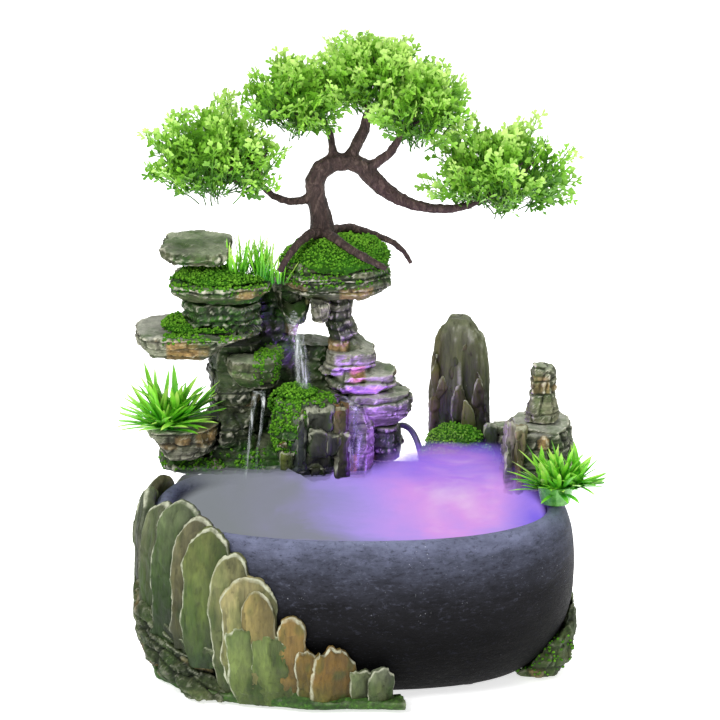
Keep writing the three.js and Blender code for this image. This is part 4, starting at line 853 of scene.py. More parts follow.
G1, G2, G3 = (108, 110, 104), (84, 87, 82), (58, 60, 56)
for k, row in enumerate([
    ("boulder_block_a", -29.0, -13.8, 134.2, 146.0, 13.4, 12, (G1, G2, G3)),
    ("boulder_block_b", -28.6, -16.5, 118.3, 133.6, 13.8, 12, (G1, G2, G3)),
    # the purplish grey of block c is violet LED light painted into its colour
    ("boulder_block_c", -16.2, -10.4, 118.0, 131.4, 14.6, 11, ((96, 92, 108), (80, 78, 92), (56, 54, 70))),
    ("boulder_block_d", -13.5, -5.2, 131.8, 147.5, 14.4, 12, ((176, 134, 82), (126, 112, 84), (84, 78, 66))),
    ("boulder_plank", -34.2, -28.2, 110.0, 142.0, 13.6, 10, ((118, 124, 122), (88, 96, 102), (70, 78, 84))),
    ("boulder_stone_tan", -43.4, -37.6, 121.2, 126.0, 14.4, 9, ((176, 140, 84), (150, 124, 66), (120, 104, 52))),
    ("boulder_stone_lime", -43.6, -34.2, 110.0, 121.0, 14.0, 9, ((138, 148, 78), (120, 132, 58), (86, 96, 40))),
    ("boulder_post", -11.4, -5.2, 105.6, 132.6, 13.6, 9, ((96, 90, 74), (76, 72, 58), (50, 47, 38))),
    # the two dark stubs stand back in the undercut below the blocks: their dark colours are painted shadow
    ("boulder_stub_a", -29.0, -17.0, 112.0, 118.0, 17.5, 9, ((70, 72, 60), (52, 54, 42), (36, 38, 28))),
    ("boulder_stub_b", -27.4, -16.4, 104.6, 111.6, 16.5, 9, ((78, 78, 64), (56, 56, 44), (36, 38, 28))),
]):
    stone(row[0], row[1] - 0.5, row[2] + 0.5, row[3] - 0.6, row[4] + 0.6, row[5], row[6], row[7], 2000 + k * 13, crown=1.6, jag=2.2, rough=1.3, power=5, pale_edge_and_highlight=0.8, shade=0.5, twist=math.radians(((k * 37) % 17) - 8))

# the tall peak: a ridged core behind overlapping flakes
peak = remeshed("peak_core", NODES["peak_tall"].data, 0.95 * MM)
p, n = points_of(peak.data)
q = p / MM - SHIFT
ridge = fbm(np.stack([q[:, 0] / 2.9, q[:, 1] / 2.9, q[:, 2] / 48], 1), 3, 2301) * 2.2 + fbm(q / [6, 6, 22], 3, 2302) * 1.3 + fbm(q / 2.6, 3, 2303) * 0.3
p += n * ((ridge - 0.9) * (1 - 0.6 * smooth(n[:, 2], 0.5, 0.9)) * MM)[:, None]
set_points(peak, p)
hgt = np.clip((q[:, 2] - 98) / 84 + fbm(q / [6, 6, 30], 3, 2304) * 0.16, 0, 1)
tri_ = np.array([lin(c)[:3] for c in ((32, 44, 20), (58, 66, 34), (88, 94, 56), (104, 108, 80))])
rgb = np.stack([np.interp(hgt, [0.3, 0.5, 0.75, 1.0], tri_[:, k]) for k in range(3)], 1)
left_ = smooth(-q[:, 0], -50, -42)[:, None]
# ridge crests lighter and grooves darker: painted highlight and painted shade
rgb = rgb * (0.75 + 0.5 * smooth(ridge, -0.8, 0.8))[:, None]
rgb = rgb * (1 - 0.55 * left_) + np.array(lin((132, 122, 62))[:3]) * 0.55 * left_ * hgt[:, None]
put_tint(peak, "tint", rgb * 0.78)
# pale ridge crests: pale edge and painted highlight
put_attr(peak, "pale_edge_and_highlight", smooth(ridge, 0.7, 1.5) * 0.6 * hgt)
peak.data.materials.append(FLAKE.m)
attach(peak, "fountain")
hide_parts("peak_tall")
for k, row in enumerate([
    ("peak_flake_a", 43.0, 52.6, 98, 150, 61.6, 6, ((122, 116, 72), (72, 76, 44), (36, 56, 28)), 13, 0.3),
    ("peak_flake_b", 58.5, 73.6, 98, 155, 61.2, 7, ((104, 98, 66), (56, 54, 34), (30, 32, 18)), 16, 0.3),
    ("peak_flake_c", 52.0, 58.6, 110, 164.0, 62.4, 6, ((96, 92, 64), (58, 58, 38), (32, 34, 22)), 9, -0.3),
    ("peak_flake_d", 57.6, 68.2, 120, 171.0, 63.0, 6, ((106, 100, 70), (70, 68, 44), (40, 42, 28)), 13, -0.2),
    ("peak_flake_f", 65.0, 74.6, 112, 150, 59.6, 6, ((106, 100, 66), (62, 60, 38), (32, 34, 20)), 15, -0.3),
    ("peak_flake_g", 54.0, 62.0, 104, 146, 59.4, 6, ((92, 90, 56), (52, 54, 32), (30, 36, 20)), 12, 0.2),
    ("peak_flake_e", 41.9, 46.0, 100, 163, 62.6, 8, ((134, 122, 64), (98, 92, 48), (48, 54, 32)), 14, 0.6),
]):
    stone(*row[:8], 2400 + k * 17, crown=row[8], peak=row[9], jag=2.0, power=1.6, rough=1.0, shade=0.4, pale_edge_and_highlight=0.75, voxel=0.7)
stone("splinter_slab", 56.0, 66.5, 106, 137.5, 57.0, 4.5, ((158, 158, 96), (128, 128, 74), (86, 90, 50)), 2600, crown=17, peak=-0.75, power=1.6, lean=0.10, jag=0.4, pale_edge_and_highlight=0.9, shade=0.1)

# planks on the basin side of the right wall
for k, row in enumerate([
    ("wall_plank_a", 82.2, 87.2, 98, 140.5, 5.6, 9, ((170, 158, 158), (148, 138, 142), (128, 116, 130)), 2, 0.0),
    ("wall_plank_b", 87.0, 93.4, 98, 138.0, 3.8, 9, ((176, 158, 132), (172, 142, 112), (150, 122, 112)), 1.5, -0.2),
    ("wall_gap_stone", 73.0, 86.0, 88, 106.0, 44.0, 16, ((84, 92, 80), (58, 64, 56), (44, 46, 60)), 4, 0.1),
    ("wall_plank_c", 71.6, 80.2, 91, 125.0, 53.0, 8, ((96, 106, 92), (66, 78, 62), (50, 54, 74)), 3, 0.0),
]):
    stone(*row[:8], 2800 + k * 19, crown=row[8], peak=row[9], jag=1.8, power=2.4, shade=0.3, pale_edge_and_highlight=0.8, voxel=0.7, rough=1.0)

# ------------------------------------------------------------------ basin bowl, smooth
OUTER = np.array([[2.3, 88, 47], [6, 96, 56], [16, 107, 66], [30, 115, 74], [46, 119, 78.5], [62, 120, 79.5], [78, 119, 78], [88, 116.5, 75.5], [94, 113.5, 72.5], [96.4, 111.2, 70.6], [97, 109.2, 69.2]])
INNER = np.array([[96.8, 107.6, 67.8], [95.6, 106, 66.2], [93, 104.8, 64.8], [80, 107, 67], [60, 109, 69], [40, 106, 66.5], [24, 98, 57.5], [14, 88, 48.5], [11, 80, 42]])


def fill(rows, n):
    s = np.concatenate([[0], np.cumsum(np.linalg.norm(np.diff(rows, axis=0), axis=1))])
    P = catmull([tuple(r) for r in rows], 24)
    P = np.array([tuple(p) for p in P])
    d = np.concatenate([[0], np.cumsum(np.linalg.norm(np.diff(P, axis=0), axis=1))])
    u = np.linspace(0, d[-1], n)
    return np.stack([np.interp(u, d, P[:, k]) for k in range(3)], 1)


prof = np.concatenate([fill(OUTER, 58), fill(INNER, 40)])
sides = 160
ang = np.linspace(0, 2 * math.pi, sides, endpoint=False) + 0.001
V = []
for z, a, b in prof:
    x, y = superpoint(ang, a, b)
    V.append(np.stack([x + BOWL_X, y, np.full(sides, z)], 1))
V = np.concatenate(V)
rowsn = len(prof)
k, j = np.meshgrid(np.arange(rowsn - 1), np.arange(sides), indexing="ij")
jn = (j + 1) % sides
F = np.stack([k * sides + j, k * sides + jn, (k + 1) * sides + jn, (k + 1) * sides + j], -1).reshape(-1, 4)
F = [tuple(r) for r in F] + [tuple(range(sides))[::-1], tuple((rowsn - 1) * sides + i for i in range(sides))]
ripple = vnoise(V / [9, 9, 2.4], 810) * 0.16 + vnoise(V / [22, 22, 5], 811) * 0.22
centre = np.array([BOWL_X, 0, 0])
d = V - centre
d[:, 2] = 0
d /= np.maximum(1e-6, np.linalg.norm(d, axis=1))[:, None]
V = V + d * (ripple - 0.35)[:, None] * (V[:, 2] > 2.5)[:, None]
bowl = obj("basin_bowl_shell", (V + SHIFT) * MM, F, [BOWL])
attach(bowl, "fountain")
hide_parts("basin_bowl")

# ------------------------------------------------------------------ tree
trunk = remeshed("bonsai_wood", NODES["bonsai_trunk"].data, 0.62 * MM)
sm = trunk.modifiers.new("s", "SMOOTH")
sm.factor, sm.iterations = 0.5, 6
dg = bpy.context.evaluated_depsgraph_get()
me = bpy.data.meshes.new_from_object(trunk.evaluated_get(dg))
trunk.modifiers.clear()
trunk.data = me
p, n = points_of(trunk.data)
q = p / MM
thick = smooth(np.abs(q[:, 0] + 16), 60, 20)
ridge = np.abs(fbm(q / [3.2, 3.2, 7], 3, 900)) * 1.1 - 0.35 + fbm(q / 1.7, 2, 905) * 0.22
p += n * (ridge * MM * 0.8)[:, None]
set_points(trunk, p)
trunk.data.materials.append(BARK.m)
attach(trunk, "bonsai")
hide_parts("bonsai_trunk")


def sprig(rnd):
    """One plastic sprig along +Z from the origin, in mm: verts, faces (quads), tip value per vertex."""
    V, F, S = [], [], []

    def ribbon(a, b, w0, w1, side, s0, s1):
        i = len(V)
        V.extend([a - side * w0, a + side * w0, b + side * w1, b - side * w1])
        S.extend([s0, s0, s1, s1])
        F.append((i, i + 1, i + 2, i + 3))

    def leaf(base, d, side, length, width, s):
        i = len(V)
        nrm = d.cross(side).normalized()
        m1, m2, tip = base + d * length * 0.4, base + d * length * 0.82, base + d * length
        V.extend([base - side * 0.28, base + side * 0.28, m1 + side * width * 0.8 + nrm * 0.2, m1 - side * width * 0.8 + nrm * 0.2,
                  m2 + side * width + nrm * 0.1, m2 - side * width + nrm * 0.1, tip + side * width * 0.42 - nrm * 0.15, tip - side * width * 0.42 - nrm * 0.15])
        S.extend([s, s, s + 0.1, s + 0.1, s + 0.18, s + 0.18, s + 0.25, s + 0.25])
        F.extend([(i, i + 1, i + 2, i + 3), (i + 3, i + 2, i + 4, i + 5), (i + 5, i + 4, i + 6, i + 7)])

    pos, d = Vector((0, 0, 0)), Vector((rnd.uniform(-0.15, 0.15), rnd.uniform(-0.15, 0.15), 1)).normalized()
    side = Vector((1, 0, 0))
    L = rnd.uniform(15, 20)
    steps = 5
    for k in range(steps):
        nd = (d + Vector((rnd.uniform(-0.2, 0.2), rnd.uniform(-0.2, 0.2), 0))).normalized()
        nxt = pos + nd * L / steps
        ribbon(pos, nxt, 0.45, 0.38, side, 0.1 + 0.1 * k, 0.2 + 0.1 * k)
        ribbon(pos, nxt, 0.45, 0.38, nd.cross(side).normalized(), 0.1 + 0.1 * k, 0.2 + 0.1 * k)
        if k >= 1:
            roll = rnd.uniform(0, math.pi)
            for sgn in (-1, 1):
                out = Vector((math.cos(roll) * sgn, math.sin(roll) * sgn, 0))
                bd = (nd * rnd.uniform(0.7, 1.0) + out * rnd.uniform(0.6, 0.95)).normalized()
                bl = rnd.uniform(2.6, 4.4)
                be = nxt + bd * bl
                bs = bd.cross(out.cross(nd)).normalized()
                bs = out.cross(bd).normalized() if bs.length < 0.1 else bs
                ribbon(nxt, be, 0.36, 0.3, bs, 0.3 + 0.08 * k, 0.4 + 0.08 * k)
                for fork in (-0.5, 0.5, 0.0) if rnd.random() < 0.55 else (-0.45, 0.45):
                    fd = (bd + bs * fork * 1.3 + nd * 0.15).normalized()
                    fs_ = fd.cross(bd.cross(bs)).normalized()
                    leaf(be, fd, fs_, rnd.uniform(2.7, 4.1), rnd.uniform(0.68, 1.02), 0.4 + 0.09 * k)
        pos, d = nxt, nd
    for fork in (-0.55, 0.0, 0.55):
        fd = (d + side * fork).normalized()
        leaf(pos, fd, fd.cross(Vector((0, 1, 0))).normalized(), rnd.uniform(2.6, 3.6), rnd.uniform(0.65, 0.95), 0.78)
    return np.array([tuple(v) for v in V]), np.array(F), np.array(S)


_r = random.Random(41)
SPRIGS = [sprig(_r) for _ in range(9)]


def basis(d, roll):
    d = d / np.linalg.norm(d)
    h = np.array([0, 0, 1.0]) if abs(d[2]) < 0.9 else np.array([1.0, 0, 0])
    a = np.cross(h, d)
    a /= np.linalg.norm(a)
    b = np.cross(d, a)
    c, s = math.cos(roll), math.sin(roll)
    return np.stack([a * c + b * s, -a * s + b * c, d], 1)


FOLIAGE = {
    "foliage_left": [(-79, 56, 280), (36, 27, 29), 250],
    "foliage_upper_left": [(-34, 58, 312), (29, 25, 22), 190],
    "foliage_top": [(7, 64, 324), (31, 24, 24), 210],
    "foliage_upper_right": [(32, 53, 310), (26, 24, 26), 190],
    "foliage_right": [(78.5, 56, 270), (39, 28, 26), 265],
}
LIMIT = [np.array(cad_box[0]) / MM, np.array(cad_box[1]) / MM]
for ci, (node, (c, r, count)) in enumerate(FOLIAGE.items()):
    rnd = random.Random(60 + ci)
    c, r = np.array(c, float), np.array(r, float)
    VV, FF, SS, base = [], [], [], 0
    for k in range(count):
        # direction on the sphere, fuller above, thin below
        while True:
            g = np.array([rnd.gauss(0, 1) for _ in range(3)])
            g /= np.linalg.norm(g)
            if g[2] > -0.55 or rnd.random() < 0.35:
                break
        depth = rnd.uniform(0.25, 1.0) ** 0.6
        wob = 1 + 0.2 * math.sin(5 * g[0] + 3 * g[1] + ci) + 0.15 * math.sin(9 * g[2] + 7 * g[0] + ci)
        tip = c + g * r * depth * wob
        tip[2] = max(tip[2], c[2] - 0.5 * r[2] + rnd.uniform(-2.5, 1.5))
        heart = c + [0, 0, -0.62 * r[2]] + (tip - c) * [0.42, 0.42, 0.2]
        d = tip - heart
        d /= max(1e-6, np.linalg.norm(d))
        d = d + [0, 0, 0.12] + np.array([rnd.uniform(-0.28, 0.28) for _ in range(3)])
        d /= np.linalg.norm(d)
        v, f, s = SPRIGS[rnd.randrange(len(SPRIGS))]
        size = rnd.uniform(0.74, 1.06)
        start = tip - d * 19 * size * 0.8
        pts = (v * size) @ basis(d, rnd.uniform(0, 6.28)).T + start
        high = (pts[:, 2] - (c[2] - r[2])) / (2 * r[2])
        light = np.clip(0.12 + (0.07 if ci in (2, 3) else -0.01) + 0.46 * high + 0.34 * (depth - 0.5) * 2, 0, 1)
        VV.append(pts)
        FF.append(f + base)
        SS.append(np.clip(light * (0.35 + 0.85 * s) + rnd.uniform(-0.12, 0.16), 0, 1))
        base += len(v)
    V = np.concatenate(VV)
    V = np.clip(V + SHIFT, LIMIT[0] + 0.3, LIMIT[1] - 0.3)
    o = obj(node + "_sprigs", V * MM, np.concatenate(FF), [LEAF], attrs={"shade": np.concatenate(SS)})
    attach(o, "bonsai")
    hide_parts(node)

# thin twigs that carry the sprigs inside each cluster
twigs_v, twigs_f = [], []
tr = random.Random(77)
for (cl, starts) in (("foliage_left", (-76, 56, 268)), ("foliage_upper_left", (-19, 60, 301)), ("foliage_top", (6, 63, 305)), ("foliage_upper_right", (27, 54.5, 300)), ("foliage_right", (68, 56, 254))):
    c, r, _ = FOLIAGE[cl]
    for k in range(16):
        g = np.array([tr.gauss(0, 1) for _ in range(3)])
        g /= np.linalg.norm(g)
        end = np.array(c) + g * np.array(r) * 0.62
        pts = [np.array(starts, float), np.array(starts) * 0.5 + end * 0.5 + [tr.uniform(-4, 4), tr.uniform(-4, 4), tr.uniform(-4, 1)], end]
        P = np.array([tuple(p) for p in catmull([tuple(p) for p in pts], 5)])
        for m in range(len(P)):
            dd = P[min(m + 1, len(P) - 1)] - P[max(m - 1, 0)]
            B = basis(dd, 0)
            rr = 1.0 - 0.7 * m / len(P)
            for a in range(5):
                twigs_v.append(P[m] + B[:, 0] * rr * math.cos(a * 1.2566) + B[:, 1] * rr * math.sin(a * 1.2566))
        b0 = len(twigs_v) - len(P) * 5
        for m in range(len(P) - 1):
            for a in range(5):
                twigs_f.append((b0 + m * 5 + a, b0 + m * 5 + (a + 1) % 5, b0 + (m + 1) * 5 + (a + 1) % 5, b0 + (m + 1) * 5 + a))
twigs = obj("bonsai_twigs", (np.array(twigs_v) + SHIFT) * MM, np.array(twigs_f), [BARK])
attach(twigs, "bonsai")


# ------------------------------------------------------------------ grass
def tuft(name, node, specs):
    V, F, S, base = [], [], [], 0
    for (root, aim, length, width, bend, shade) in specs:
        root, aim = np.array(root, float), np.array(aim, float)
        aim /= np.linalg.norm(aim)
        side = np.cross(aim, [0, 0, 1.0])
        side = side / np.linalg.norm(side) if np.linalg.norm(side) > 0.05 else np.array([1.0, 0, 0])
        nrm = np.cross(side, aim)
        n = 7
        for k in range(n):
            t = k / (n - 1)
            c = root + aim * length * t + np.array([0, 0, -1.0]) * bend * t * t * length
            w = width * (0.55 + 0.9 * t) * (1 - t ** 3) + 0.05
            lift = nrm * w * 0.45
            V += [c - side * w + lift, c, c + side * w + lift]
            S += [shade * (0.35 + 0.75 * t)] * 3
        for k in range(n - 1):
            a = base + k * 3
            F += [(a, a + 1, a + 4, a + 3), (a + 1, a + 2, a + 5, a + 4)]
        base += n * 3
    V = np.clip(np.array(V) + SHIFT, LIMIT[0] + 0.2, LIMIT[1] - 0.2)
    o = obj(name, V * MM, np.array(F), [GRASS], attrs={"shade": np.clip(S, 0, 1)})
    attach(o, "fountain")
    if node:
        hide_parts(node)
    return o


gr = random.Random(5)
left = []
for (bx, by, bz, n, lo, hi) in ((-110, 32, 129, 70, 27, 43), (-100, 34, 131, 48, 22, 38), (-106, 28, 129, 28, 14, 26)):
    for k in range(n):
        a = gr.uniform(0, 2 * math.pi)
        el = math.radians(gr.uniform(8, 84))
        aim = (math.cos(a) * math.cos(el) * 1.1, math.sin(a) * math.cos(el) * 0.7 - 0.1, math.sin(el))
        left.append(((bx + gr.uniform(-3, 3), by + gr.uniform(-2, 2), bz), aim, gr.uniform(lo, hi) * (0.72 if el > 1.15 else 1), gr.uniform(1.3, 2.6), gr.uniform(0.0, 0.16), gr.uniform(0.55, 1.05)))
tuft("grass_left_blades", "grass_left", left)
right = []
for (bx, by, bz, n, lo, hi) in ((112, -6, 103, 80, 20, 36), (122, -4, 106, 30, 14, 28), (104, -4, 105, 26, 14, 26)):
    for k in range(n):
        a = gr.uniform(0, 2 * math.pi)
        el = math.radians(gr.uniform(5, 85))
        aim = (math.cos(a) * math.cos(el), math.sin(a) * math.cos(el) * 0.8 - 0.1, math.sin(el))
        right.append(((bx + gr.uniform(-3, 3), by + gr.uniform(-3, 3), bz), aim, gr.uniform(lo, hi), gr.uniform(1.2, 2.3), gr.uniform(0.0, 0.22), gr.uniform(0.5, 1.0)))
tuft("grass_right_blades", "grass_right", right)
upper = []
for (bx, by, bz, n, lo, hi) in ((-68, 42, 211, 34, 16, 26), (-52, 42, 212, 40, 18, 28), (-60, 46, 213, 26, 20, 29), (-44, 42, 210, 16, 12, 22)):
    for k in range(n):
        a = gr.uniform(0, 2 * math.pi)
        el = math.radians(gr.uniform(48, 88))
        aim = (math.cos(a) * math.cos(el) * 0.9, math.sin(a) * math.cos(el) * 0.7, math.sin(el))
        upper.append(((bx + gr.uniform(-5, 5), by + gr.uniform(-3, 3), bz), aim, gr.uniform(lo, hi), gr.uniform(0.45, 0.85), gr.uniform(-0.02, 0.12), gr.uniform(0.6, 1.1)))
tuft("grass_upper_blades", "grass_upper", upper)

# ------------------------------------------------------------------ moss: a rough pad under thousands of crumbs
def icosphere():
    t = (1 + 5 ** 0.5) / 2
    v = np.array([(-1, t, 0), (1, t, 0), (-1, -t, 0), (1, -t, 0), (0, -1, t), (0, 1, t), (0, -1, -t), (0, 1, -t), (t, 0, -1), (t, 0, 1), (-t, 0, -1), (-t, 0, 1)], float)
    f = np.array([(0, 11, 5), (0, 5, 1), (0, 1, 7), (0, 7, 10), (0, 10, 11), (1, 5, 9), (5, 11, 4), (11, 10, 2), (10, 7, 6), (7, 1, 8), (3, 9, 4), (3, 4, 2), (3, 2, 6), (3, 6, 8), (3, 8, 9), (4, 9, 5), (2, 4, 11), (6, 2, 10), (8, 6, 7), (9, 8, 1)])
    return v / np.linalg.norm(v[0]), f


ICO_V, ICO_F = icosphere()


def crumbs(name, spots, normals, seed, size=(0.75, 1.45), spread=1.0):
    rnd = np.random.default_rng(seed)
    n = len(spots)
    s = rnd.uniform(size[0], size[1], n)
    shape = 1 + rnd.uniform(-0.38, 0.38, (n, 12))
    squash = rnd.uniform(0.7, 1.15, (n, 1, 3))
    v = ICO_V[None] * shape[:, :, None] * s[:, None, None] * squash
    a = rnd.uniform(0, 6.28, n)
    ca, sa = np.cos(a)[:, None], np.sin(a)[:, None]
    x, y = v[:, :, 0] * ca - v[:, :, 1] * sa, v[:, :, 0] * sa + v[:, :, 1] * ca
    v = np.stack([x, y, v[:, :, 2]], 2)
    lift = rnd.uniform(-0.2, 0.9, n) * s * spread
    centre = spots + normals * lift[:, None]
    v = v + centre[:, None, :]
    f = (ICO_F[None] + (np.arange(n) * 12)[:, None, None]).reshape(-1, 3)
    shade = np.clip(rnd.uniform(0.25, 0.9, n)[:, None] * 0.55 + (ICO_V[None, :, 2] * 0.28 + 0.2) + lift[:, None] * 0.16 / s[:, None], 0, 1).repeat(1, 0)
    return obj(name, v.reshape(-1, 3) * MM, f, [MOSS], attrs={"shade": shade.ravel()})


def surface_spots(me, seed, spacing, keep):
    """random points over the faces of a mesh, in mm, that pass keep(points, normals)"""
    rnd = np.random.default_rng(seed)
    t = tri_arrays(me)
    P, _ = points_of(me)
    P = P / MM
    A, B, C = P[t[:, 0]], P[t[:, 1]], P[t[:, 2]]
    N = np.cross(B - A, C - A)
    area = np.linalg.norm(N, axis=1) / 2
    ok = area > 1e-9
    A, B, C, N, area = A[ok], B[ok], C[ok], N[ok], area[ok]
    N /= np.linalg.norm(N, axis=1)[:, None]
    count = int(area.sum() / spacing ** 2)
    pick = rnd.choice(len(area), count, p=area / area.sum())
    u, v = rnd.random(count), rnd.random(count)
    flip = u + v > 1
    u[flip], v[flip] = 1 - u[flip], 1 - v[flip]
    S = A[pick] + (B[pick] - A[pick]) * u[:, None] + (C[pick] - A[pick]) * v[:, None]
    M = N[pick]
    k = keep(S - SHIFT, M)
    return S[k], M[k]


for mi, node in enumerate(("moss_tree", "moss_upper_ledge", "moss_mid_ledge", "moss_boulder", "moss_right")):
    pad = remeshed(node + "_pad", NODES[node].data, 0.9 * MM)
    p, n = points_of(pad.data)
    q = p / MM
    d1, d2, who = worley(q / 2.4, 950 + mi)
    p += n * ((who - 0.5) * 0.9 + fbm(q / 7, 3, 960 + mi) * 1.2 - d1 * 0.6 - 0.3)[:, None] * MM
    if node == "moss_right":
        low = p[:, 2].min()
        p[:, 2] = low + (p[:, 2] - low) * 1.75 + 1.5 * MM
    set_points(pad, p)
    put_attr(pad, "shade", np.clip(0.12 + who * 0.22, 0, 1))
    pad.data.materials.append(MOSS.m)
    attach(pad, "fountain")
    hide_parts(node)
    S, M = surface_spots(pad.data, 970 + mi, 1.0, lambda s, m: m[:, 2] > -0.15)
    c = crumbs(node + "_crumbs", S, M, 980 + mi, size=(0.42, 0.92), spread=1.5)
    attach(c, "fountain")

# moss that creeps over the rocks beside the pads
CREEP = [
    ("tree_rock", (-44, 28, 207), (20, 70, 232), 0.1, 1.5),
    ("ledge_upper_left", (-106, 14, 205), (-48, 60, 215), 0.3, 1.5),
    ("ledge_mid_left", (-108, 18, 179), (-52, 60, 190), 0.45, 1.3),
    ("mid_rock", (-58, 20, 154), (-41, 64, 176), -0.5, 1.3),
    ("front_boulder", (-52, 10, 118), (-31, 40, 152), -0.6, 1.25),
    ("front_boulder", (-40, 10, 138), (-12, 46, 152), -0.3, 1.25),
    ("rockery_core", (-118, 28, 96), (-52, 60, 113), -0.2, 1.7),
    ("moss_rock_right", (34, 20, 103), (78, 64, 120), -0.3, 1.15),
    ("right_base_rock", (84, -36, 2), (124, 20, 26), -0.2, 2.4),
    ("cap_rock_left", (-108, 10, 214), (-86, 40, 224), -0.9, 1.9),
]
for k, (node, lo, hi, tilt_, spacing) in enumerate(CREEP):
    S, M = surface_spots(rocks[node].data, 1000 + k, spacing, lambda s, m: np.all((s > lo) & (s < hi), axis=1) & (m[:, 2] > tilt_) & (m[:, 1] < 0.5) & (fbm(s / 8, 3, 1100 + k) > -0.18))
    if len(S) < 5:
        continue
    c = crumbs("creeping_moss_%02d" % (k + 1), S, M, 1010 + k, size=(0.5, 1.05))
    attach(c, "fountain")

# ------------------------------------------------------------------ hidden hardware keeps its solids, with finished materials
LOOKS = {
    "pump_housing": PUMP, "pump_cover": PUMP, "impeller": PUMP, "impeller_shaft": CERAMIC, "flow_regulator": RUBBER, "pump_suction_base": RUBBER,
    "riser_hose": VINYL, "mist_maker_body": PUMP, "mist_maker_disc": CERAMIC, "mist_maker_ring": BRASSY, "led_ring_lens": LENS, "mist_maker_gland": RUBBER,
    "foot_pad_front_left": RUBBER, "foot_pad_front_right": RUBBER, "foot_pad_rear_left": RUBBER, "foot_pad_rear_right": RUBBER, "planter_cup_right": CUP,
}
for node, m in LOOKS.items():
    o = NODES[node]
    for s in o.material_slots:
        s.link = "OBJECT"
        s.material = m.m

# ------------------------------------------------------------------ water, streams and mist
WATER = Mat("water_look", rough=0.06, spec=0.6)
WATER.set("Base Color", WATER.ramp(WATER.noise(40, 3), (0.3, lin((38, 40, 58))), (0.7, lin((66, 62, 92)))))
WATER.set("Normal", WATER.bump(WATER.noise(160, 3, vec=WATER.scaled((1, 1.6, 1))), 0.25, 0.001))


def disc(name, z, a, b, mat, wave=0.0, seed=0, rings_=26, sides_=84, cx=BOWL_X, cy=0.0, power=2.3, dome=0.0):
    ang_ = np.linspace(0, 2 * math.pi, sides_, endpoint=False)
    V = [np.array([[cx, cy, z]])]
    for k in range(1, rings_ + 1):
        t = k / rings_
        x, y = superpoint(ang_, a * t, b * t, power)
        V.append(np.stack([x + cx, y + cy, np.full(sides_, z)], 1))
    V = np.concatenate(V)
    t = np.concatenate([[0], np.repeat(np.arange(1, rings_ + 1) / rings_, sides_)])
    V[:, 2] += fbm(V / [26, 20, 20], 3, seed) * wave * (1 - t ** 4) + dome * (1 - t ** 2)
    F = [(0, 1 + j, 1 + (j + 1) % sides_) for j in range(sides_)]
    for k in range(rings_ - 1):
        for j in range(sides_):
            F.append((1 + k * sides_ + j, 1 + (k + 1) * sides_ + j, 1 + (k + 1) * sides_ + (j + 1) % sides_, 1 + k * sides_ + (j + 1) % sides_))
    return obj(name, (V + SHIFT) * MM, F, [mat], attrs={"rim": t})


water = disc("basin_water", 86.0, 105.4, 65.6, WATER, wave=0.4, seed=1200)
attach(water, "fountain")


MIST = bpy.data.materials.new("mist_painted_led_glow_look")
MIST.use_nodes = True
K = Mat.__new__(Mat)
K.m, K.t = MIST, MIST.node_tree
K.t.nodes.clear()
K.out = K.t.nodes.new("ShaderNodeOutputMaterial")
K.co = K.t.nodes.new("ShaderNodeTexCoord").outputs["Object"]
_nz = K.noise(22, 4, 0.55, warp=0.7)
_n2 = K.noise(60, 3, 0.5, warp=1.2)


def _far(which, at_, r):
    k = K.math("DIVIDE", K.math("SUBTRACT", K.xyz(which), at_ * MM), r * MM)
    return K.math("MULTIPLY", k, k)


# the mist glows by emission in painted LED light: pink-white over the fogger, fading to grey at the edges
_d = K.math("SQRT", K.math("ADD", _far("X", 52 + SHIFT[0], 44), K.math("ADD", _far("Y", -4 + SHIFT[1], 56), _far("Z", 100, 26))))
_d = K.math("ADD", _d, K.math("MULTIPLY", K.math("SUBTRACT", _nz, 0.5), 2.1))
_d = K.math("ADD", _d, K.math("MULTIPLY", K.math("SUBTRACT", _n2, 0.5), 0.5))
_led_glow_colour = K.ramp(K.math("DIVIDE", _d, 3.0), (0.02, lin((246, 228, 252))), (0.1, lin((232, 192, 240))), (0.2, lin((222, 160, 238))), (0.3, lin((198, 158, 242))), (0.42, lin((180, 156, 238))), (0.54, lin((160, 150, 212))), (0.72, lin((140, 142, 158))), (1.0, lin((134, 139, 144))))
# violet LED light painted into the mist towards the back, the top and the right side
_back = K.math("MULTIPLY", K.ramp(K.math("MULTIPLY", K.math("SUBTRACT", K.xyz("Y"), (8 + SHIFT[1]) * MM), 1000 / 40.0), (0.0, 0.0), (1.0, 1.0)), K.ramp(K.math("MULTIPLY", K.math("SUBTRACT", K.xyz("X"), -40 * MM), 1000 / 50.0), (0.0, 0.0), (1.0, 1.0)))
_high = K.math("MULTIPLY", K.ramp(K.math("MULTIPLY", K.math("SUBTRACT", K.xyz("Z"), 102 * MM), 1000 / 16.0), (0.0, 0.0), (1.0, 0.9)), K.ramp(K.math("MULTIPLY", K.math("SUBTRACT", K.xyz("X"), -40 * MM), 1000 / 50.0), (0.0, 0.0), (1.0, 1.0)))
_side = K.ramp(K.math("MULTIPLY", K.math("SUBTRACT", K.xyz("X"), 76 * MM), 1000 / 22.0), (0.0, 0.0), (1.0, 0.75))
_violet_light_mask = K.math("MAXIMUM", K.math("MAXIMUM", _back, _high), _side)
_led_glow_colour = K.mix(K.math("MULTIPLY", _violet_light_mask, K.ramp(_nz, (0.35, 0.45), (0.6, 1.0))), _led_glow_colour, lin((104, 76, 236)))
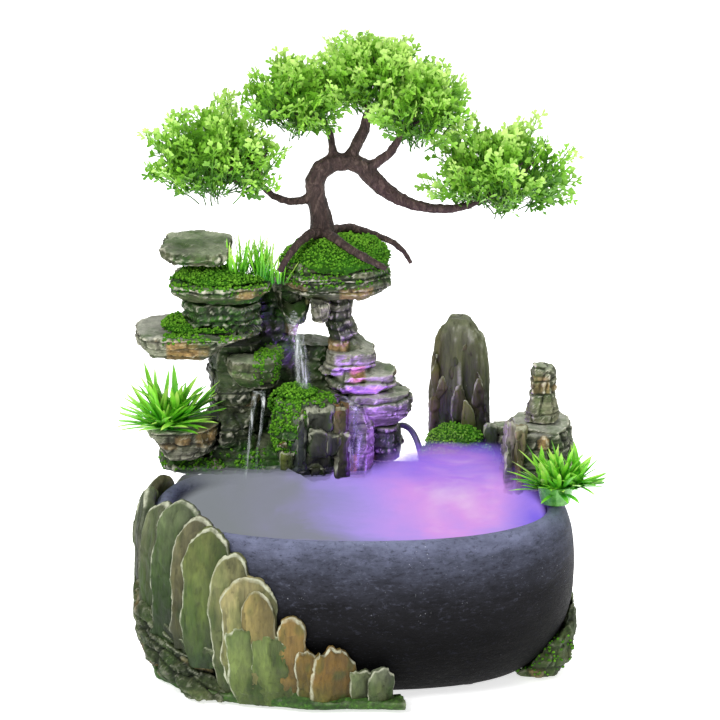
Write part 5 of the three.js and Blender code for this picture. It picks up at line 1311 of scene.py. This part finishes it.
# emission makes the mist sheets glow though they are no lamp: painted light
_mist_glow_emission = K.t.nodes.new("ShaderNodeEmission")
K.put(_mist_glow_emission.inputs["Color"], _led_glow_colour)
_mist_glow_emission.inputs["Strength"].default_value = 0.98
_tr = K.t.nodes.new("ShaderNodeBsdfTransparent")
_ms = K.t.nodes.new("ShaderNodeMixShader")
K.put(_ms.inputs[0], K.math("MULTIPLY", K.attr("dens"), K.ramp(_nz, (0.3, 0.62), (0.56, 1.0)), clamp=True))
K.t.links.new(_tr.outputs[0], _ms.inputs[1])
K.t.links.new(_mist_glow_emission.outputs[0], _ms.inputs[2])
K.t.links.new(_ms.outputs[0], K.out.inputs[0])

SHEETS = [(88.6, 104.4, 64.4, BOWL_X, 0, 2.4, 0.95, 0.6), (91.2, 104.0, 64.2, BOWL_X, 0, 1.1, 0.9, 0.8), (93.8, 103.4, 63.4, BOWL_X, 0, 0.6, 0.85, 1.0)]
for k in range(5):
    SHEETS.append((97.2 + 1.8 * k, 107 - 3 * k, 68 - 3 * k, 2 + k, 1 + 2 * k, 1.0 - 0.13 * k, 0.0, 2.0))
for k in range(11):
    SHEETS.append((97.6 + 2.0 * k, 56 - 1.5 * k, 52 - 2.8 * k, 52 + 0.2 * k, 2 + 2.2 * k, 1.15 - 0.055 * k, 0.0, 3.5))
for k in range(4):
    SHEETS.append((97.6 + 1.6 * k, 62 - 4 * k, 34 - 2 * k, -56, 40 - 2 * k, 0.75 - 0.1 * k, 0.0, 1.5))
for k in range(6):
    SHEETS.append((97.6 + 2.0 * k, 30 - k, 26 - 1.5 * k, 34, 30 + k, 1.0 - 0.11 * k, 0.0, 2.0))
for k, (z, a, b, cx, cy, dens, keep_, wave) in enumerate(SHEETS):
    o = disc("mist_sheet_%02d" % (k + 1), z, a, b, MIST, wave=wave, seed=1300 + k, cx=cx, cy=cy)
    rim = np.zeros(len(o.data.vertices), np.float32)
    o.data.attributes["rim"].data.foreach_get("value", rim)
    put_attr(o, "dens", dens * ((1 - smooth(rim, 0.93, 1.0)) if keep_ else (1 - rim ** 2) ** 2))
    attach(o, "fountain")


def stream_material(name, tint, painted_water_glow, density):
    M_ = Mat(name, rough=0.08, spec=0.8)
    streak = M_.noise(420, 4, 0.6, vec=M_.scaled((1.0, 1.0, 0.09)), warp=0.6)
    fleck = M_.noise(260, 3, 0.7, vec=M_.scaled((1.0, 1.0, 0.35)))
    M_.set("Base Color", M_.ramp(streak, (0.4, lin(tint)), (0.68, lin((250, 252, 255)))))
    # a faint emission glow on the falling water: painted light
    M_.set("Emission Color", lin(painted_water_glow))
    M_.b.inputs["Emission Strength"].default_value = 0.12
    a = M_.math("MULTIPLY", M_.math("ADD", M_.ramp(streak, (0.46, 0.10), (0.66, 0.72)), M_.math("MULTIPLY", M_.ramp(fleck, (0.55, 0), (0.7, 1)), 0.4)), M_.math("MULTIPLY", M_.attr("body"), density), clamp=True)
    M_.set("Alpha", a)
    M_.set("Normal", M_.bump(streak, 0.6, 0.0006))
    return M_


FALL = stream_material("falling_water_look", (150, 165, 160), (225, 235, 230), 1.0)
# the right stream's violet tint and glow are painted violet LED light
VIOLET_LIT_FALL = stream_material("violet_lit_water_look", (112, 100, 170), (120, 96, 220), 0.6)


def stream(name, path, widths, mat, seed):
    """a falling sheet of water: a ribbon bowed towards the viewer"""
    P = np.array([tuple(p) for p in catmull(path, 10)])
    w = np.interp(np.linspace(0, 1, len(P)), np.linspace(0, 1, len(widths)), widths)
    cols = 11
    V, A = [], []
    for i in range(len(P)):
        for k in range(cols):
            s = k / (cols - 1) * 2 - 1
            jig = 0.12 * vnoise(np.array([[i / 4.0, k * 0.8, seed]]), seed)[0]
            V.append((P[i][0] + w[i] * (s + jig * 0.6) / 2, P[i][1] - 1.3 * (1 - s * s) * min(1, w[i] / 6) + jig, P[i][2]))
            A.append((1 - abs(s) ** 2.5) * min(1.0, (len(P) - 1 - i) / 3.0 + 0.25))
    F = [(i * cols + k, i * cols + k + 1, (i + 1) * cols + k + 1, (i + 1) * cols + k) for i in range(len(P) - 1) for k in range(cols - 1)]
    o = obj(name, (np.array(V) + SHIFT) * MM, F, [mat], attrs={"body": A})
    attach(o, "fountain")
    return o


stream("stream_upper", [(-36.5, 60, 192), (-36, 48, 190), (-35, 38, 186), (-33.5, 34, 180), (-31.5, 33, 168), (-30, 34, 156), (-29, 36, 147)], [9, 9, 8, 9, 10, 9, 9], FALL, 3)
stream("stream_left_a", [(-56, 34, 150), (-57.5, 28, 146), (-59, 26, 134), (-61, 26, 118), (-63, 26, 100), (-63, 26, 92)], [5, 3.4, 2.4, 2.0, 2.2, 3], FALL, 5)
stream("stream_left_b", [(-53, 34, 150), (-52.5, 28, 145), (-53.5, 26, 132), (-56, 26, 116), (-57, 26, 100), (-57, 26, 92)], [4, 2.6, 1.8, 1.8, 1.8, 2.4], FALL, 7)
stream("stream_right", [(-4, 40, 145), (-4, 30, 142), (-3, 24, 134), (-2, 22, 120), (-1, 22, 106), (0, 21, 92)], [10, 11, 13, 14, 14, 15], VIOLET_LIT_FALL, 9)

# ------------------------------------------------------------------ lights
def lamp(kind, name, loc, energy, size, color=(1, 1, 1), aim=(0, 0, 0.17)):
    L = bpy.data.lights.new(name, kind)
    L.energy, L.color = energy, color
    if kind == "AREA":
        L.shape, L.size, L.size_y = "RECTANGLE", size[0], size[1]
    else:
        L.shadow_soft_size = size
    o = bpy.data.objects.new(name, L)
    scene.collection.objects.link(o)
    o.location = loc
    o.rotation_euler = (Vector(aim) - Vector(loc)).to_track_quat("-Z", "Y").to_euler()
    return o


lamp("AREA", "key", (-0.75, -1.25, 1.35), 24, (0.7, 0.7))
lamp("AREA", "fill", (1.2, -1.1, 0.7), 3.2, (1.0, 1.0))
lamp("AREA", "top", (0.1, 0.25, 1.5), 18, (1.0, 0.9))
lamp("AREA", "rim", (0.6, 1.2, 0.9), 8, (0.9, 0.7))
violet = (0.30, 0.06, 1.0)
lamp("POINT", "led_violet_a", W(20, 14, 106), 0.05, 0.008, violet)
lamp("POINT", "led_violet_b", W(30, 20, 112), 0.05, 0.008, violet)
lamp("POINT", "led_ledge", W(27, 10, 129), 0.075, 0.006, violet)
led = lamp("SPOT", "led_ledge_far", W(50, -10, 124), 1.6, 0.01, violet, aim=W(16, 22, 143))
led.data.spot_size, led.data.spot_blend = math.radians(26), 0.9

world = bpy.data.worlds.new("studio")
scene.world = world
world.use_nodes = True
world.node_tree.nodes["Background"].inputs[0].default_value = (1, 1, 1, 1)
world.node_tree.nodes["Background"].inputs[1].default_value = 0.34

floor_mat = Mat("studio_floor_look", rough=0.9, spec=0.1)
floor_mat.set("Base Color", floor_mat.ramp(floor_mat.noise(3, 2), (0.0, (0.93, 0.93, 0.93, 1)), (1.0, (0.97, 0.97, 0.97, 1))))
floor_mat.set("Emission Color", (1, 1, 1, 1))
floor_mat.b.inputs["Emission Strength"].default_value = 0.7
floor = obj("studio_floor", [(-8, -8, 0), (8, -8, 0), (8, 12, 0), (-8, 12, 0)], [(0, 1, 2, 3)], [floor_mat], shade=False)
